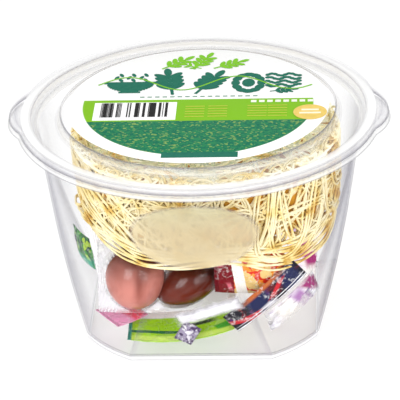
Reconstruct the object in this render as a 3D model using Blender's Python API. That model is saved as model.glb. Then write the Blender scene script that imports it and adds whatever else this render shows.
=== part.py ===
"""Instant noodle cup: a clear tub and lid with a label, a noodle cake, an egg pouch and sachets.

Metres, +Z up. The origin is the centre of the base's underside, and +X runs through the tabs.
"""
import math
import random

import bmesh
import bpy
from mathutils import Matrix, Vector

# Clear shell: a round rim that turns into a round body with four flats at the base
WALL = 0.0007
LID_WALL = 0.0006
BASE_RADIUS = 0.0544
BASE_FLAT = 0.0466
WALL_BOTTOM = 0.0024
WALL_TOP = 0.0838
TOP_RADIUS = 0.0643
FOOT_INSET = 0.0006
FOOT_ROUND = 0.0005
FLAT_BULGE = 0.0019
WALL_LEVELS = 6

# Rings of the shell are made of four quarters, each a flat stretch and an arc
FLAT_STEPS = 4
ARC_STEPS = 9
RIM_FLAT_HALF = math.radians(12)

# Centre lines of the two formed sheets, as radius and height
TUB_RIM_LINE = [
    (0.0653, 0.0850), (0.0668, 0.0850), (0.0674, 0.08745),
    (0.0693, 0.08745), (0.0699, 0.0850), (0.07145, 0.0850), (0.07175, 0.0840),
]
LID_LINE = [
    (0.0532, 0.0896), (0.0545, 0.0893), (0.0556, 0.0863), (0.0566, 0.0860),
    (0.0641, 0.0860), (0.0652, 0.0865), (0.0663, 0.0882), (0.0669, 0.0884),
    (0.0704, 0.0884), (0.0709, 0.0881), (0.0713, 0.0862),
]
TAB_START = 0.0700
TAB_ARC_RADIUS = 0.0280
TAB_REACH = 0.0038
SHELL_CIRCLE = 0.0710

LABEL_RADIUS = 0.0519
LABEL_BOTTOM = 0.0902
LABEL_THICKNESS = 0.0003
LABEL_SIDES = 64

# Noodle cake: a core with strands half sunk in its skin
CAKE_CENTRE_X = 0.0025
CAKE_RADIUS = 0.0542
CAKE_TAPER = 0.0012
CAKE_BOTTOM = 0.0480
CAKE_TOP = 0.0818
CAKE_EDGE = 0.0025
CAKE_SIDES = 40
CAKE_LEVELS = 5
CAKE_LIFT = 0.0030
CAKE_LIFT_ANGLE = math.radians(207)
CAKE_LIFT_FOCUS = 6
# Waves of the core's side: height, waves round the cake, shift up the side, start
SIDE_WAVES = [(0.0005, 3, 0, 1), (0.0004, 7, 5, 0)]
# Wave of the core's top: height, and radians for each metre along X and Y
ROOF_WAVE = (0.0004, 180, 150)
# Rings of the core's floor and roof, as shares of its radius
FLOOR_RINGS = (0.6, 0.93)
ROOF_RINGS = (0.955, 0.65, 0.33)
FLOOR_DROP = 0.0010

STRAND_RADIUS = 0.00065
STRAND_SINK = 0.0001
STRAND_SIDES = 5
STRAND_SEGMENTS = 29
SIDE_STRANDS = 8
TOP_STRANDS = 4
SEED = 11
# Ranges that a side strand's loop is drawn from: its start, sweep, swing and number of turns
SIDE_START = 0.5
SIDE_SWEEP = (0.45, 0.75)
SIDE_SWING = (0.18, 0.30)
SIDE_TURNS = (0.7, 1.3)
SIDE_REACH = 0.42
# Ranges that a top strand's loop is drawn from: its heading, place and size
TOP_START = 0.4
TOP_PLACE = (0.022, 0.030)
TOP_SIZE = (0.010, 0.016)
TOP_ARC = 1.7 * math.pi
TOP_SQUEEZE = 0.7

# Sachets and the pouch are pillows with a flat seal all round
SEAL_THICKNESS = 0.0007
PILLOW_U = 8
PILLOW_V = 4
FILL_POWER_U = 4
FILL_POWER_V = 2

# Name: length, width, half fill, centre, yaw, tilt, lean, roll, bend of the ends, twist
SACHETS = {
    "sachet_green": (0.0430, 0.0270, 0.0012, (-0.0075, -0.0290, 0.0076), 0, -6, -86, 0, 0.0034, 0),
    "sachet_red": (0.0280, 0.0195, 0.0015, (0.0200, -0.0405, 0.0358), 0, 0, 10, 0, -0.0010, 0),
    "sachet_dark": (0.0360, 0.0100, 0.0010, (0.0262, -0.0436, 0.0270), 16, 0, 4, 39, -0.0014, 0),
    "sachet_clear": (0.0265, 0.0110, 0.0012, (0.0372, -0.0392, 0.0220), 41, 0, 6, 24, -0.0016, 0),
    "sachet_white": (0.0290, 0.0075, 0.0008, (0.0040, -0.0486, 0.0238), 0, 0, 11, 20, 0.0004, 0),
    "sachet_pink": (0.0150, 0.0150, 0.0010, (-0.0318, -0.0318, 0.0134), 40, 0, -86, 0, 0.0006, 0),
    "sachet_leafy": (0.0145, 0.0145, 0.0011, (-0.0460, -0.0278, 0.0415), -60, 0, 8, 0, -0.0006, 0),
    "sachet_pearl": (0.0520, 0.0330, 0.0035, (-0.0200, 0.0040, 0.0285), 24, 0, -24, 0, -0.0030, 0),
    "sachet_cream": (0.0440, 0.0330, 0.0035, (0.0255, 0.0110, 0.0275), -20, 0, -26, 0, -0.0030, 0),
    "sachet_silver": (0.0078, 0.0090, 0.0004, (-0.0048, -0.0455, 0.0122), 0, 0, 4, -30, 0.0003, 4),
}

# Egg pouch: a pillow with two egg bulges, its left end turned back along the wall
POUCH_LENGTH = 0.0525
POUCH_WIDTH = 0.0294
POUCH_CENTRE = (-0.0132, -0.0338, 0.0314)
POUCH_YAW = 14
POUCH_LEAN = -14
POUCH_ROLL = -4
POUCH_BEND = -0.0070
POUCH_U = 16
POUCH_V = 10
# Each egg's centre along and across the pouch, its half axes and its turn
EGGS = [(-0.0122, 0.0004, 0.0122, 0.0140, 0), (0.0102, -0.0014, 0.0100, 0.0162, -60)]
EGG_HALF_DEPTH = 0.0112

COLORS = {
    "tub": ((0.93, 0.94, 0.96), 0.12),
    "lid": ((0.93, 0.94, 0.96), 0.12),
    "label": ((0.20, 0.50, 0.30), 0.40),
    "noodle_cake": ((0.90, 0.76, 0.42), 0.60),
    "egg_pouch": ((0.45, 0.22, 0.14), 0.25),
    "sachet_green": ((0.32, 0.60, 0.05), 0.35),
    "sachet_red": ((0.75, 0.06, 0.05), 0.35),
    "sachet_dark": ((0.06, 0.03, 0.10), 0.35),
    "sachet_clear": ((0.80, 0.76, 0.86), 0.20),
    "sachet_white": ((0.86, 0.85, 0.88), 0.35),
    "sachet_pink": ((0.90, 0.40, 0.55), 0.35),
    "sachet_leafy": ((0.04, 0.28, 0.16), 0.35),
    "sachet_silver": ((0.55, 0.48, 0.60), 0.25),
    "sachet_pearl": ((0.86, 0.85, 0.90), 0.35),
    "sachet_cream": ((0.90, 0.88, 0.82), 0.35),
}


def finished(name, bm, smooth=True):
    """Turn a bmesh into a scene object with its own material."""
    bmesh.ops.recalc_face_normals(bm, faces=bm.faces)
    mesh = bpy.data.meshes.new(name)
    bm.to_mesh(mesh)
    bm.free()
    if smooth:
        mesh.shade_smooth()
        mesh.set_sharp_from_angle(angle=math.radians(35))
    obj = bpy.data.objects.new(name, mesh)
    bpy.context.scene.collection.objects.link(obj)
    if name in COLORS:
        color, roughness = COLORS[name]
        material = bpy.data.materials.new(name)
        material.use_nodes = True
        shader = material.node_tree.nodes["Principled BSDF"]
        shader.inputs["Base Color"].default_value = (*color, 1)
        shader.inputs["Roughness"].default_value = roughness
        shader.inputs["Metallic"].default_value = 0
        mesh.materials.append(material)
    return obj


def loft(name, rings):
    """Join rings of points into one closed body, with a fan over the first and the last."""
    bm = bmesh.new()
    rows = [[bm.verts.new(point) for point in points] for points in rings]
    count = len(rings[0])
    for low, high in zip(rows, rows[1:]):
        for i in range(count):
            j = (i + 1) % count
            bm.faces.new((low[i], low[j], high[j], high[i]))
    for row in (rows[0], rows[-1]):
        centre = bm.verts.new(sum((vert.co for vert in row), Vector()) / count)
        for i in range(count):
            bm.faces.new((row[i], row[(i + 1) % count], centre))
    return finished(name, bm)


def wall_radius(z):
    """Radius of the tub's round corners at a height."""
    share = (z - WALL_BOTTOM) / (WALL_TOP - WALL_BOTTOM)
    return BASE_RADIUS + (TOP_RADIUS - BASE_RADIUS) * share


def wall_flat(z):
    """Distance of the tub's four flats from its axis, bowed until they meet the round rim."""
    share = (z - WALL_BOTTOM) / (WALL_TOP - WALL_BOTTOM)
    straight = BASE_FLAT + (TOP_RADIUS - BASE_FLAT) * share
    return straight + FLAT_BULGE * 4 * share * (1 - share)


def tab_bulge(angle):
    """How far a tab's round end stands past the shell's circle at an angle."""
    local = abs((angle + math.pi / 2) % math.pi - math.pi / 2)
    centre = SHELL_CIRCLE + TAB_REACH - TAB_ARC_RADIUS
    under = TAB_ARC_RADIUS ** 2 - (centre * math.sin(local)) ** 2
    if under <= 0:
        return 0.0
    return max(0.0, centre * math.cos(local) + math.sqrt(under) - SHELL_CIRCLE)


def ring_angles(flat_half):
    """Angles of one ring: in each quarter a flat stretch, then an arc."""
    angles = []
    for quarter in range(4):
        middle = quarter * math.pi / 2
        angles += [middle + flat_half * (2 * i / FLAT_STEPS - 1) for i in range(FLAT_STEPS)]
        arc = math.pi / 2 - 2 * flat_half
        angles += [middle + flat_half + arc * i / ARC_STEPS for i in range(ARC_STEPS)]
    return angles


def section_ring(radius, flat, z):
    """One level of the tub: a circle cut by four flats."""
    flat_half = max(math.acos(min(1.0, flat / radius)), RIM_FLAT_HALF)
    points = []
    for angle in ring_angles(flat_half):
        middle = round(angle / (math.pi / 2)) * math.pi / 2
        reach = min(radius, flat / math.cos(angle - middle))
        points.append(Vector((reach * math.cos(angle), reach * math.sin(angle), z)))
    return points


def rim_ring(radius, z):
    """One level of a rim: a circle, with the two tabs added outside the tabs' start."""
    points = []
    for angle in ring_angles(RIM_FLAT_HALF):
        reach = radius + (tab_bulge(angle) if radius > TAB_START else 0.0)
        points.append(Vector((reach * math.cos(angle), reach * math.sin(angle), z)))
    return points


def sheet_sides(line, thickness):
    """Both sides of a sheet, from its centre line: first the upper side, then the under side."""
    upper = []
    under = []
    for i, point in enumerate(line):
        here = Vector(point)
        normals = []
        for first, last in ((i - 1, i), (i, i + 1)):
            if first >= 0 and last < len(line):
                run = (Vector(line[last]) - Vector(line[first])).normalized()
                normals.append(Vector((-run.y, run.x)))
        normal = sum(normals, Vector((0, 0))).normalized()
        offset = normal * (thickness / 2 / normal.dot(normals[0]))
        upper.append(here + offset)
        under.append(here - offset)
    return upper, under


def make_tub():
    """The tub as one lofted sheet: foot, wall, rim with its bead and tabs, and back down inside."""
    foot_radius = BASE_RADIUS - FOOT_INSET
    foot_flat = BASE_FLAT - FOOT_INSET
    rings = [
        section_ring(foot_radius - FOOT_ROUND, foot_flat - FOOT_ROUND, 0),
        section_ring(foot_radius, foot_flat, FOOT_ROUND),
        section_ring(foot_radius, foot_flat, WALL_BOTTOM - FOOT_ROUND),
    ]
    rise = (WALL_TOP - WALL_BOTTOM) / (WALL_LEVELS - 1)
    heights = [WALL_BOTTOM + rise * i for i in range(WALL_LEVELS)]
    rings += [section_ring(wall_radius(z), wall_flat(z), z) for z in heights]
    upper, under = sheet_sides(TUB_RIM_LINE, WALL)
    rings += [rim_ring(*point) for point in under]
    rings += [rim_ring(*point) for point in reversed(upper)]
    rings += [section_ring(wall_radius(z) - WALL, wall_flat(z) - WALL, z) for z in reversed(heights)]
    inner_radius = foot_radius - FOOT_ROUND - WALL
    rings.append(section_ring(inner_radius, foot_flat - FOOT_ROUND - WALL, WALL))
    return loft("tub", rings)


def make_lid():
    """The lid as one lofted sheet: raised disc, low ring, top ring, skirt and tabs."""
    upper, under = sheet_sides(LID_LINE, LID_WALL)
    return loft("lid", [rim_ring(*p) for p in upper] + [rim_ring(*p) for p in reversed(under)])


def make_label():
    """The round label on the lid's raised disc."""
    bm = bmesh.new()
    bmesh.ops.create_cone(
        bm, cap_ends=True, segments=LABEL_SIDES, radius1=LABEL_RADIUS, radius2=LABEL_RADIUS,
        depth=LABEL_THICKNESS,
    )
    label = finished("label", bm, smooth=False)
    label.location.z = LABEL_BOTTOM + LABEL_THICKNESS / 2
    return label


def cake_radius(angle, share):
    """Radius of the noodle cake's core at an angle and a share of its height."""
    wave = sum(
        height * math.sin(count * angle + shift * share + start)
        for height, count, shift, start in SIDE_WAVES
    )
    return CAKE_RADIUS - CAKE_TAPER * (1 - share) + wave - STRAND_RADIUS


def cake_floor(angle):
    """Height of the cake's lower edge: level, but lifted over one sachet."""
    turn = math.cos(angle - CAKE_LIFT_ANGLE)
    return CAKE_BOTTOM + CAKE_LIFT * max(0.0, turn) ** CAKE_LIFT_FOCUS


def cake_roof(x, y):
    """Height of the cake's uneven top."""
    height, along_x, along_y = ROOF_WAVE
    return CAKE_TOP - STRAND_RADIUS + height * math.sin(along_x * x) * math.cos(along_y * y)


def cake_point(angle, share, grow=0.0):
    """A point on the side of the cake's core."""
    floor = cake_floor(angle)
    z = floor + (CAKE_TOP - STRAND_RADIUS - CAKE_EDGE - floor) * share
    reach = cake_radius(angle, share) + grow
    return Vector((CAKE_CENTRE_X + reach * math.cos(angle), reach * math.sin(angle), z))


def make_cake_core():
    """The core: a low drum with soft edges."""
    angles = [2 * math.pi * i / CAKE_SIDES for i in range(CAKE_SIDES)]
    rings = []
    for inset in FLOOR_RINGS:
        reach = inset * CAKE_RADIUS
        rings.append([
            Vector((CAKE_CENTRE_X + reach * math.cos(a), reach * math.sin(a), cake_floor(a) - FLOOR_DROP))
            for a in angles
        ])
    for level in range(CAKE_LEVELS):
        rings.append([cake_point(a, level / (CAKE_LEVELS - 1)) for a in angles])
    for inset in ROOF_RINGS:
        reach = inset * (CAKE_RADIUS - STRAND_RADIUS)
        ring = []
        for a in angles:
            x = CAKE_CENTRE_X + reach * math.cos(a)
            y = reach * math.sin(a)
            ring.append(Vector((x, y, cake_roof(x, y))))
        rings.append(ring)
    return loft("noodle_cake", rings)


def tube(points):
    """A closed noodle strand along points, with round ends left flat."""
    bm = bmesh.new()
    rows = []
    side = Vector((0, 0, 1))
    for i, point in enumerate(points):
        run = (points[min(i + 1, len(points) - 1)] - points[max(i - 1, 0)]).normalized()
        side = (side - run * side.dot(run)).normalized()
        other = run.cross(side)
        row = []
        for k in range(STRAND_SIDES):
            turn = 2 * math.pi * k / STRAND_SIDES
            row.append(bm.verts.new(
                point + STRAND_RADIUS * (math.cos(turn) * side + math.sin(turn) * other)))
        rows.append(row)
    for low, high in zip(rows, rows[1:]):
        for k in range(STRAND_SIDES):
            n = (k + 1) % STRAND_SIDES
            bm.faces.new((low[k], low[n], high[n], high[k]))
    bm.faces.new(rows[0])
    bm.faces.new(rows[-1])
    return finished("strand", bm)


def side_strand(index, rng):
    """A strand that swings over part of the cake's side in one loose loop."""
    start = 2 * math.pi * (index + SIDE_START * rng.random()) / SIDE_STRANDS
    sweep = rng.uniform(*SIDE_SWEEP)
    swing = rng.uniform(*SIDE_SWING)
    turns = rng.uniform(*SIDE_TURNS)
    phase = rng.uniform(0, 2 * math.pi)
    points = []
    for i in range(STRAND_SEGMENTS + 1):
        t = i / STRAND_SEGMENTS
        angle = start + sweep * t + swing * math.sin(2 * math.pi * turns * t + phase)
        share = 0.5 + SIDE_REACH * math.cos(2 * math.pi * turns * t + phase)
        points.append(cake_point(angle, share, -STRAND_SINK))
    return tube(points)


def top_strand(index, rng):
    """A strand that lies in a loop on the cake's top."""
    heading = 2 * math.pi * (index + TOP_START * rng.random()) / TOP_STRANDS
    middle = rng.uniform(*TOP_PLACE)
    size = rng.uniform(*TOP_SIZE)
    points = []
    for i in range(STRAND_SEGMENTS + 1):
        t = TOP_ARC * i / STRAND_SEGMENTS
        x = CAKE_CENTRE_X + middle * math.cos(heading) + size * math.cos(t + heading)
        y = middle * math.sin(heading) + TOP_SQUEEZE * size * math.sin(t + heading)
        points.append(Vector((x, y, cake_roof(x, y) - STRAND_SINK)))
    return tube(points)


def make_noodle_cake():
    """The core with its strands joined on by one union."""
    core = make_cake_core()
    rng = random.Random(SEED)
    strands = [side_strand(i, rng) for i in range(SIDE_STRANDS)]
    strands += [top_strand(i, rng) for i in range(TOP_STRANDS)]
    group = bpy.data.collections.new("strands")
    bpy.context.scene.collection.children.link(group)
    for strand in strands:
        bpy.context.scene.collection.objects.unlink(strand)
        group.objects.link(strand)
    union = core.modifiers.new("union", "BOOLEAN")
    union.operation = "UNION"
    union.operand_type = "COLLECTION"
    union.collection = group
    union.solver = "MANIFOLD"
    with bpy.context.temp_override(object=core, active_object=core, selected_objects=[core]):
        bpy.ops.object.modifier_apply(modifier=union.name)
    for strand in strands:
        bpy.data.objects.remove(strand)
    bpy.data.collections.remove(group)
    return core


def placed(centre, yaw, tilt, lean, roll):
    """A sheet's place: upright facing -Y, then rolled in its plane, leaned, tilted and turned."""
    matrix = Matrix.Translation(centre)
    for angle, axis in ((yaw, "Z"), (tilt, "Y"), (90 + lean, "X"), (roll, "Z")):
        matrix = matrix @ Matrix.Rotation(math.radians(angle), 4, axis)
    return matrix


def pillow(name, length, width, steps_u, steps_v, fill, bend, twist, matrix):
    """A sealed bag: two sheets that bulge by fill(x, y) inside a flat seal, bent and twisted."""
    bm = bmesh.new()
    sheets = []
    for side in (1, -1):
        rows = []
        for j in range(steps_v + 1):
            y = width * (j / steps_v - 0.5)
            row = []
            for i in range(steps_u + 1):
                x = length * (i / steps_u - 0.5)
                share = 2 * x / length
                turn = math.radians(twist) * share
                height = side * (SEAL_THICKNESS / 2 + fill(x, y))
                row.append(bm.verts.new((
                    x,
                    y * math.cos(turn) - height * math.sin(turn),
                    y * math.sin(turn) + height * math.cos(turn) + bend * share ** 2,
                )))
            rows.append(row)
        sheets.append(rows)
    top, low = sheets
    for rows, order in ((top, 1), (low, -1)):
        for j in range(steps_v):
            for i in range(steps_u):
                quad = (rows[j][i], rows[j][i + 1], rows[j + 1][i + 1], rows[j + 1][i])
                bm.faces.new(quad[::order])
    border = [(0, i) for i in range(steps_u)]
    border += [(j, steps_u) for j in range(steps_v)]
    border += [(steps_v, i) for i in range(steps_u, 0, -1)]
    border += [(j, 0) for j in range(steps_v, 0, -1)]
    for (j, i), (n, m) in zip(border, border[1:] + border[:1]):
        bm.faces.new((top[j][i], low[j][i], low[n][m], top[n][m]))
    obj = finished(name, bm)
    obj.matrix_world = matrix
    return obj


def make_sachet(name, length, width, half_fill, centre, yaw, tilt, lean, roll, bend, twist):
    """A small filled sachet."""
    def fill(x, y):
        u = 2 * x / length
        v = 2 * y / width
        return half_fill * max(0.0, 1 - u ** FILL_POWER_U) * max(0.0, 1 - v ** FILL_POWER_V)
    return pillow(name, length, width, PILLOW_U, PILLOW_V, fill, bend, twist,
                  placed(centre, yaw, tilt, lean, roll))


def make_egg_pouch():
    """The sealed pouch, drawn tight over two eggs."""
    def fill(x, y):
        best = 0.0
        for along, across, half_x, half_y, turn in EGGS:
            angle = math.radians(turn)
            dx = (x - along) * math.cos(angle) + (y - across) * math.sin(angle)
            dy = (y - across) * math.cos(angle) - (x - along) * math.sin(angle)
            left = 1 - (dx / half_x) ** 2 - (dy / half_y) ** 2
            best = max(best, EGG_HALF_DEPTH * math.sqrt(max(0.0, left)))
        return best
    return pillow("egg_pouch", POUCH_LENGTH, POUCH_WIDTH, POUCH_U, POUCH_V, fill, POUCH_BEND, 0,
                  placed(POUCH_CENTRE, POUCH_YAW, 0, POUCH_LEAN, POUCH_ROLL))


def main():
    """Empty the scene and build every piece."""
    for old in list(bpy.data.objects):
        bpy.data.objects.remove(old)
    make_tub()
    make_lid()
    make_label()
    make_noodle_cake()
    make_egg_pouch()
    for name, values in SACHETS.items():
        make_sachet(name, *values)


main()
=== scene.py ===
"""Looks of an instant noodle cup: clear tub and lid, label, noodle cake, eggs in film, sachets.

Metres, +Z up. The origin is the centre of the base's underside, and +X runs through the tabs.
"""
import logging
import math
import random
from collections.abc import Callable, Sequence
from dataclasses import dataclass, field
from enum import Enum

import bmesh
import bpy
from mathutils import Matrix, Vector, noise


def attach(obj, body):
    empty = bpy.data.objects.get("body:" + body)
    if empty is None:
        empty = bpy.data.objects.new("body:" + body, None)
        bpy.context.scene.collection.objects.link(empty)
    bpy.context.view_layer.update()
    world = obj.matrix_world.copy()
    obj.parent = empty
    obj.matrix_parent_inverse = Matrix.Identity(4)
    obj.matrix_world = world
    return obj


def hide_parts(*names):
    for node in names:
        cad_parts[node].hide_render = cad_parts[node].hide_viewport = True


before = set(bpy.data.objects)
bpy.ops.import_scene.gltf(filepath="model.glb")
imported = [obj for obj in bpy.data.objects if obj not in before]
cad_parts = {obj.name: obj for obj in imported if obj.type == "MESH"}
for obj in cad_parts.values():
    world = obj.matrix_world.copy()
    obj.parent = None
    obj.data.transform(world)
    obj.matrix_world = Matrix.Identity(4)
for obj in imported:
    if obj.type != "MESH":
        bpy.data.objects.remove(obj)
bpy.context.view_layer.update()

Colour = tuple[float, float, float]
Line = list[tuple[float, float]]
Ring = list[Vector]
Mark = Callable[[int, int], float]

LOG = logging.getLogger("noodle_cup")
BODY = "root"
# Points of a shell's rings are told apart by this many digits.
DIGITS = 9
# Both kinds of print on the label have the same satin gloss.
PRINT_GLOSS = 0.06
PRINT_ROUGHNESS = (0.34, 0.42)


def linear(code: str) -> Colour:
    """Turn a colour code of red, green and blue into linear light.

    Args:
        code: Six hexadecimal digits.

    Returns:
        Red, green and blue from 0 to 1.
    """
    shares = [int(code[i:i + 2], 16) / 255 for i in (0, 2, 4)]
    return tuple(((s + 0.055) / 1.055) ** 2.4 if s > 0.04045 else s / 12.92 for s in shares)


def smooth(value: float, low: float, high: float) -> float:
    """Rise smoothly from 0 at low to 1 at high.

    Args:
        value: The number that is read.
        low: Where the result is 0.
        high: Where the result is 1.

    Returns:
        A share from 0 to 1.
    """
    share = min(1.0, max(0.0, (value - low) / (high - low)))
    return share * share * (3 - 2 * share)


def toward(angle: float) -> Vector:
    """A flat vector of length 1 at an angle in radians."""
    return Vector((math.cos(angle), math.sin(angle)))


def polar(reach: float, angle: float, z: float, centre_x: float = 0.0) -> Vector:
    """A point by its distance from an upright axis, its angle and its height."""
    return Vector((centre_x + reach * math.cos(angle), reach * math.sin(angle), z))


class Graph:
    """Short calls that wire one node tree."""

    def __init__(self, tree: bpy.types.NodeTree) -> None:
        """Keep the tree that the calls add to."""
        self.tree = tree

    def node(self, kind: str, **settings: object) -> bpy.types.Node:
        """Add a node.

        Args:
            kind: The node's type, without its prefix.
            settings: Attributes of the node.

        Returns:
            The node.
        """
        made = self.tree.nodes.new("ShaderNode" + kind)
        for name, value in settings.items():
            setattr(made, name, value)
        return made

    def feed(self, socket: bpy.types.NodeSocket, value: object) -> None:
        """Link a socket into another, or set its value.

        Args:
            socket: The input.
            value: An output socket, a number, a vector or a colour.
        """
        if isinstance(value, bpy.types.NodeSocket):
            self.tree.links.new(value, socket)
        elif socket.type == "RGBA" and len(value) == 3:
            socket.default_value = (*value, 1)
        else:
            socket.default_value = value

    def feed_all(self, node: bpy.types.Node, **given: object) -> None:
        """Link or set several inputs of a node.

        Args:
            node: The node.
            given: A value or socket for each input, with its name's blanks as underscores.
        """
        for name, value in given.items():
            self.feed(node.inputs[name.replace("_", " ")], value)

    def math(self, step: str, *values: object, clamp: bool = False) -> bpy.types.NodeSocket:
        """Add a Math node and return its result.

        Args:
            step: The operation.
            values: Its inputs, sockets or numbers.
            clamp: Whether the result is kept from 0 to 1.

        Returns:
            The output socket.
        """
        made = self.node("Math", operation=step, use_clamp=clamp)
        for socket, value in zip(made.inputs, values):
            self.feed(socket, value)
        return made.outputs[0]

    def ramp(self, value: object, low: float, high: float, start: float = 0.0,
             end: float = 1.0) -> bpy.types.NodeSocket:
        """Rise smoothly between two values.

        Args:
            value: What is read.
            low: Where the rise starts.
            high: Where it ends.
            start: The result at low.
            end: The result at high.

        Returns:
            The output socket.
        """
        made = self.node("MapRange", interpolation_type="SMOOTHSTEP")
        for socket, given in zip(made.inputs, (value, low, high, start, end)):
            self.feed(socket, given)
        return made.outputs[0]

    def mix(self, share: object, first: object, second: object) -> bpy.types.NodeSocket:
        """Mix two colours.

        Args:
            share: The share of the second.
            first: A colour.
            second: A colour.

        Returns:
            The output socket.
        """
        made = self.node("Mix", data_type="RGBA")
        for index, given in ((0, share), (6, first), (7, second)):
            self.feed(made.inputs[index], given)
        return made.outputs[2]

    def noise(self, place: object, scale: object, detail: float = 2.0,
              distortion: float = 0.0) -> bpy.types.NodeSocket:
        """Add a noise texture.

        Args:
            place: The coordinates.
            scale: Its scale, a number or a socket.
            detail: Its number of octaves.
            distortion: How far it is warped.

        Returns:
            The noise from 0 to 1.
        """
        made = self.node("TexNoise")
        self.feed_all(made, Vector=place, Scale=scale, Detail=detail, Distortion=distortion)
        return made.outputs[0]

    def stretched(self, place: object, scale: Sequence[float],
                  turn: Sequence[float] = (0.0, 0.0, 0.0)) -> bpy.types.NodeSocket:
        """Stretch and turn coordinates by a Mapping node.

        Args:
            place: The coordinates.
            scale: The stretch of each axis.
            turn: The turn about each axis in degrees.

        Returns:
            The output socket.
        """
        made = self.node("Mapping")
        self.feed_all(made, Vector=place, Rotation=[math.radians(angle) for angle in turn], Scale=scale)
        return made.outputs[0]

    def place(self, kind: str = "Object") -> bpy.types.NodeSocket:
        """Coordinates of the piece: Object or UV."""
        return self.node("TexCoord").outputs[kind]

    def axes(self, vector: object) -> list[bpy.types.NodeSocket]:
        """Split a vector into its three parts."""
        made = self.node("SeparateXYZ")
        self.feed(made.inputs[0], vector)
        return list(made.outputs)

    def joined(self, x: object, y: object, z: object) -> bpy.types.NodeSocket:
        """Join three numbers into a vector."""
        made = self.node("CombineXYZ")
        for socket, given in zip(made.inputs, (x, y, z)):
            self.feed(socket, given)
        return made.outputs[0]

    def length(self, x: object, y: object) -> bpy.types.NodeSocket:
        """Length of a flat vector."""
        squares = self.math("ADD", self.math("MULTIPLY", x, x), self.math("MULTIPLY", y, y))
        return self.math("SQRT", squares)

    def mark(self, name: str) -> bpy.types.NodeSocket:
        """The number that the piece's mesh carries at each point under a name."""
        return self.node("Attribute", attribute_name=name).outputs["Fac"]

    def facing(self) -> bpy.types.NodeSocket:
        """Share that rises from 0 face on to 1 at a grazing look, for the painted reflection of clear
        walls and film.
        """
        return self.node("LayerWeight").outputs["Facing"]

    def group(self, tree: bpy.types.NodeTree, **given: object) -> bpy.types.Node:
        """Place a node group with its own values.

        Args:
            tree: The group.
            given: A value or socket for each input.

        Returns:
            The group's node.
        """
        made = self.node("Group")
        made.node_tree = tree
        self.feed_all(made, **given)
        return made

    def bump(self, height: object, strength: float, distance: float) -> bpy.types.NodeSocket:
        """Turn a height into a normal.

        Args:
            height: The height, about 0 to 1.
            strength: The share of the effect.
            distance: The height in metres that 1 stands for.

        Returns:
            The normal.
        """
        made = self.node("Bump")
        self.feed_all(made, Height=height, Strength=strength, Distance=distance)
        return made.outputs[0]


def node_group(name: str, inputs: dict[str, str], outputs: dict[str, str],
               fill: Callable[[Graph, bpy.types.Node], dict[str, object]]) -> bpy.types.NodeTree:
    """Build a shader node group once.

    Args:
        name: The group's name.
        inputs: Each input's name and its kind, Float, Vector or Color.
        outputs: The same for the outputs.
        fill: Wires the group, and returns a socket for each output.

    Returns:
        The group.
    """
    if name in bpy.data.node_groups:
        return bpy.data.node_groups[name]
    tree = bpy.data.node_groups.new(name, "ShaderNodeTree")
    for sockets, way in ((inputs, "INPUT"), (outputs, "OUTPUT")):
        for label, kind in sockets.items():
            tree.interface.new_socket(name=label, in_out=way, socket_type="NodeSocket" + kind)
    graph = Graph(tree)
    entry = tree.nodes.new("NodeGroupInput")
    leave = tree.nodes.new("NodeGroupOutput")
    for label, socket in fill(graph, entry).items():
        tree.links.new(socket, leave.inputs[label])
    return tree


class Stencil(Enum):
    """The simple shapes that a print is made of."""

    BOX = "box"
    ELLIPSE = "ellipse"

    def group(self) -> bpy.types.NodeTree:
        """The node group that gives this shape's mask."""
        def fill(graph: Graph, entry: bpy.types.Node) -> dict[str, object]:
            """Wire the mask."""
            local = graph.node("Mapping", vector_type="TEXTURE")
            place, centre, turn, half, soft = (entry.outputs[name] for name in kinds)
            graph.feed_all(local, Vector=place, Location=centre, Rotation=turn, Scale=half)
            x, y, _ = graph.axes(local.outputs[0])
            if self is Stencil.BOX:
                reach = graph.math("MAXIMUM", graph.math("ABSOLUTE", x), graph.math("ABSOLUTE", y))
            else:
                reach = graph.length(x, y)
            share = graph.math("DIVIDE", graph.math("SUBTRACT", 1.0, reach), soft)
            return {"Mask": graph.math("ADD", share, 0.5, clamp=True)}
        kinds = {**dict.fromkeys(("Place", "Centre", "Turn", "Half"), "Vector"), "Soft": "Float"}
        return node_group("stencil_" + self.value, kinds, {"Mask": "Float"}, fill)


@dataclass(frozen=True)
class Stamp:
    """One printed shape: its place, half size, turn in degrees and soft edge."""

    x: float
    y: float
    half_x: float
    half_y: float
    turn: float = 0.0
    shape: Stencil = Stencil.BOX
    soft: float = 0.05

    def mask(self, graph: Graph, place: object) -> bpy.types.NodeSocket:
        """Wire the shape's mask.

        Args:
            graph: The material's graph.
            place: Flat coordinates of the print.

        Returns:
            The mask from 0 to 1.
        """
        made = graph.group(
            self.shape.group(), Place=place, Centre=(self.x, self.y, 0),
            Turn=(0, 0, math.radians(self.turn)), Half=(self.half_x, self.half_y, 1), Soft=self.soft)
        return made.outputs[0]


@dataclass(frozen=True)
class Ink:
    """One colour of a print, on all its stamps."""

    colour: str
    stamps: tuple[Stamp, ...]

    def over(self, graph: Graph, place: object, under: object) -> bpy.types.NodeSocket:
        """Lay the ink over a colour.

        Args:
            graph: The material's graph.
            place: Flat coordinates of the print.
            under: The colour so far.

        Returns:
            The new colour.
        """
        mask = self.stamps[0].mask(graph, place)
        for stamp in self.stamps[1:]:
            mask = graph.math("MAXIMUM", mask, stamp.mask(graph, place))
        return graph.mix(mask, under, linear(self.colour))


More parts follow.
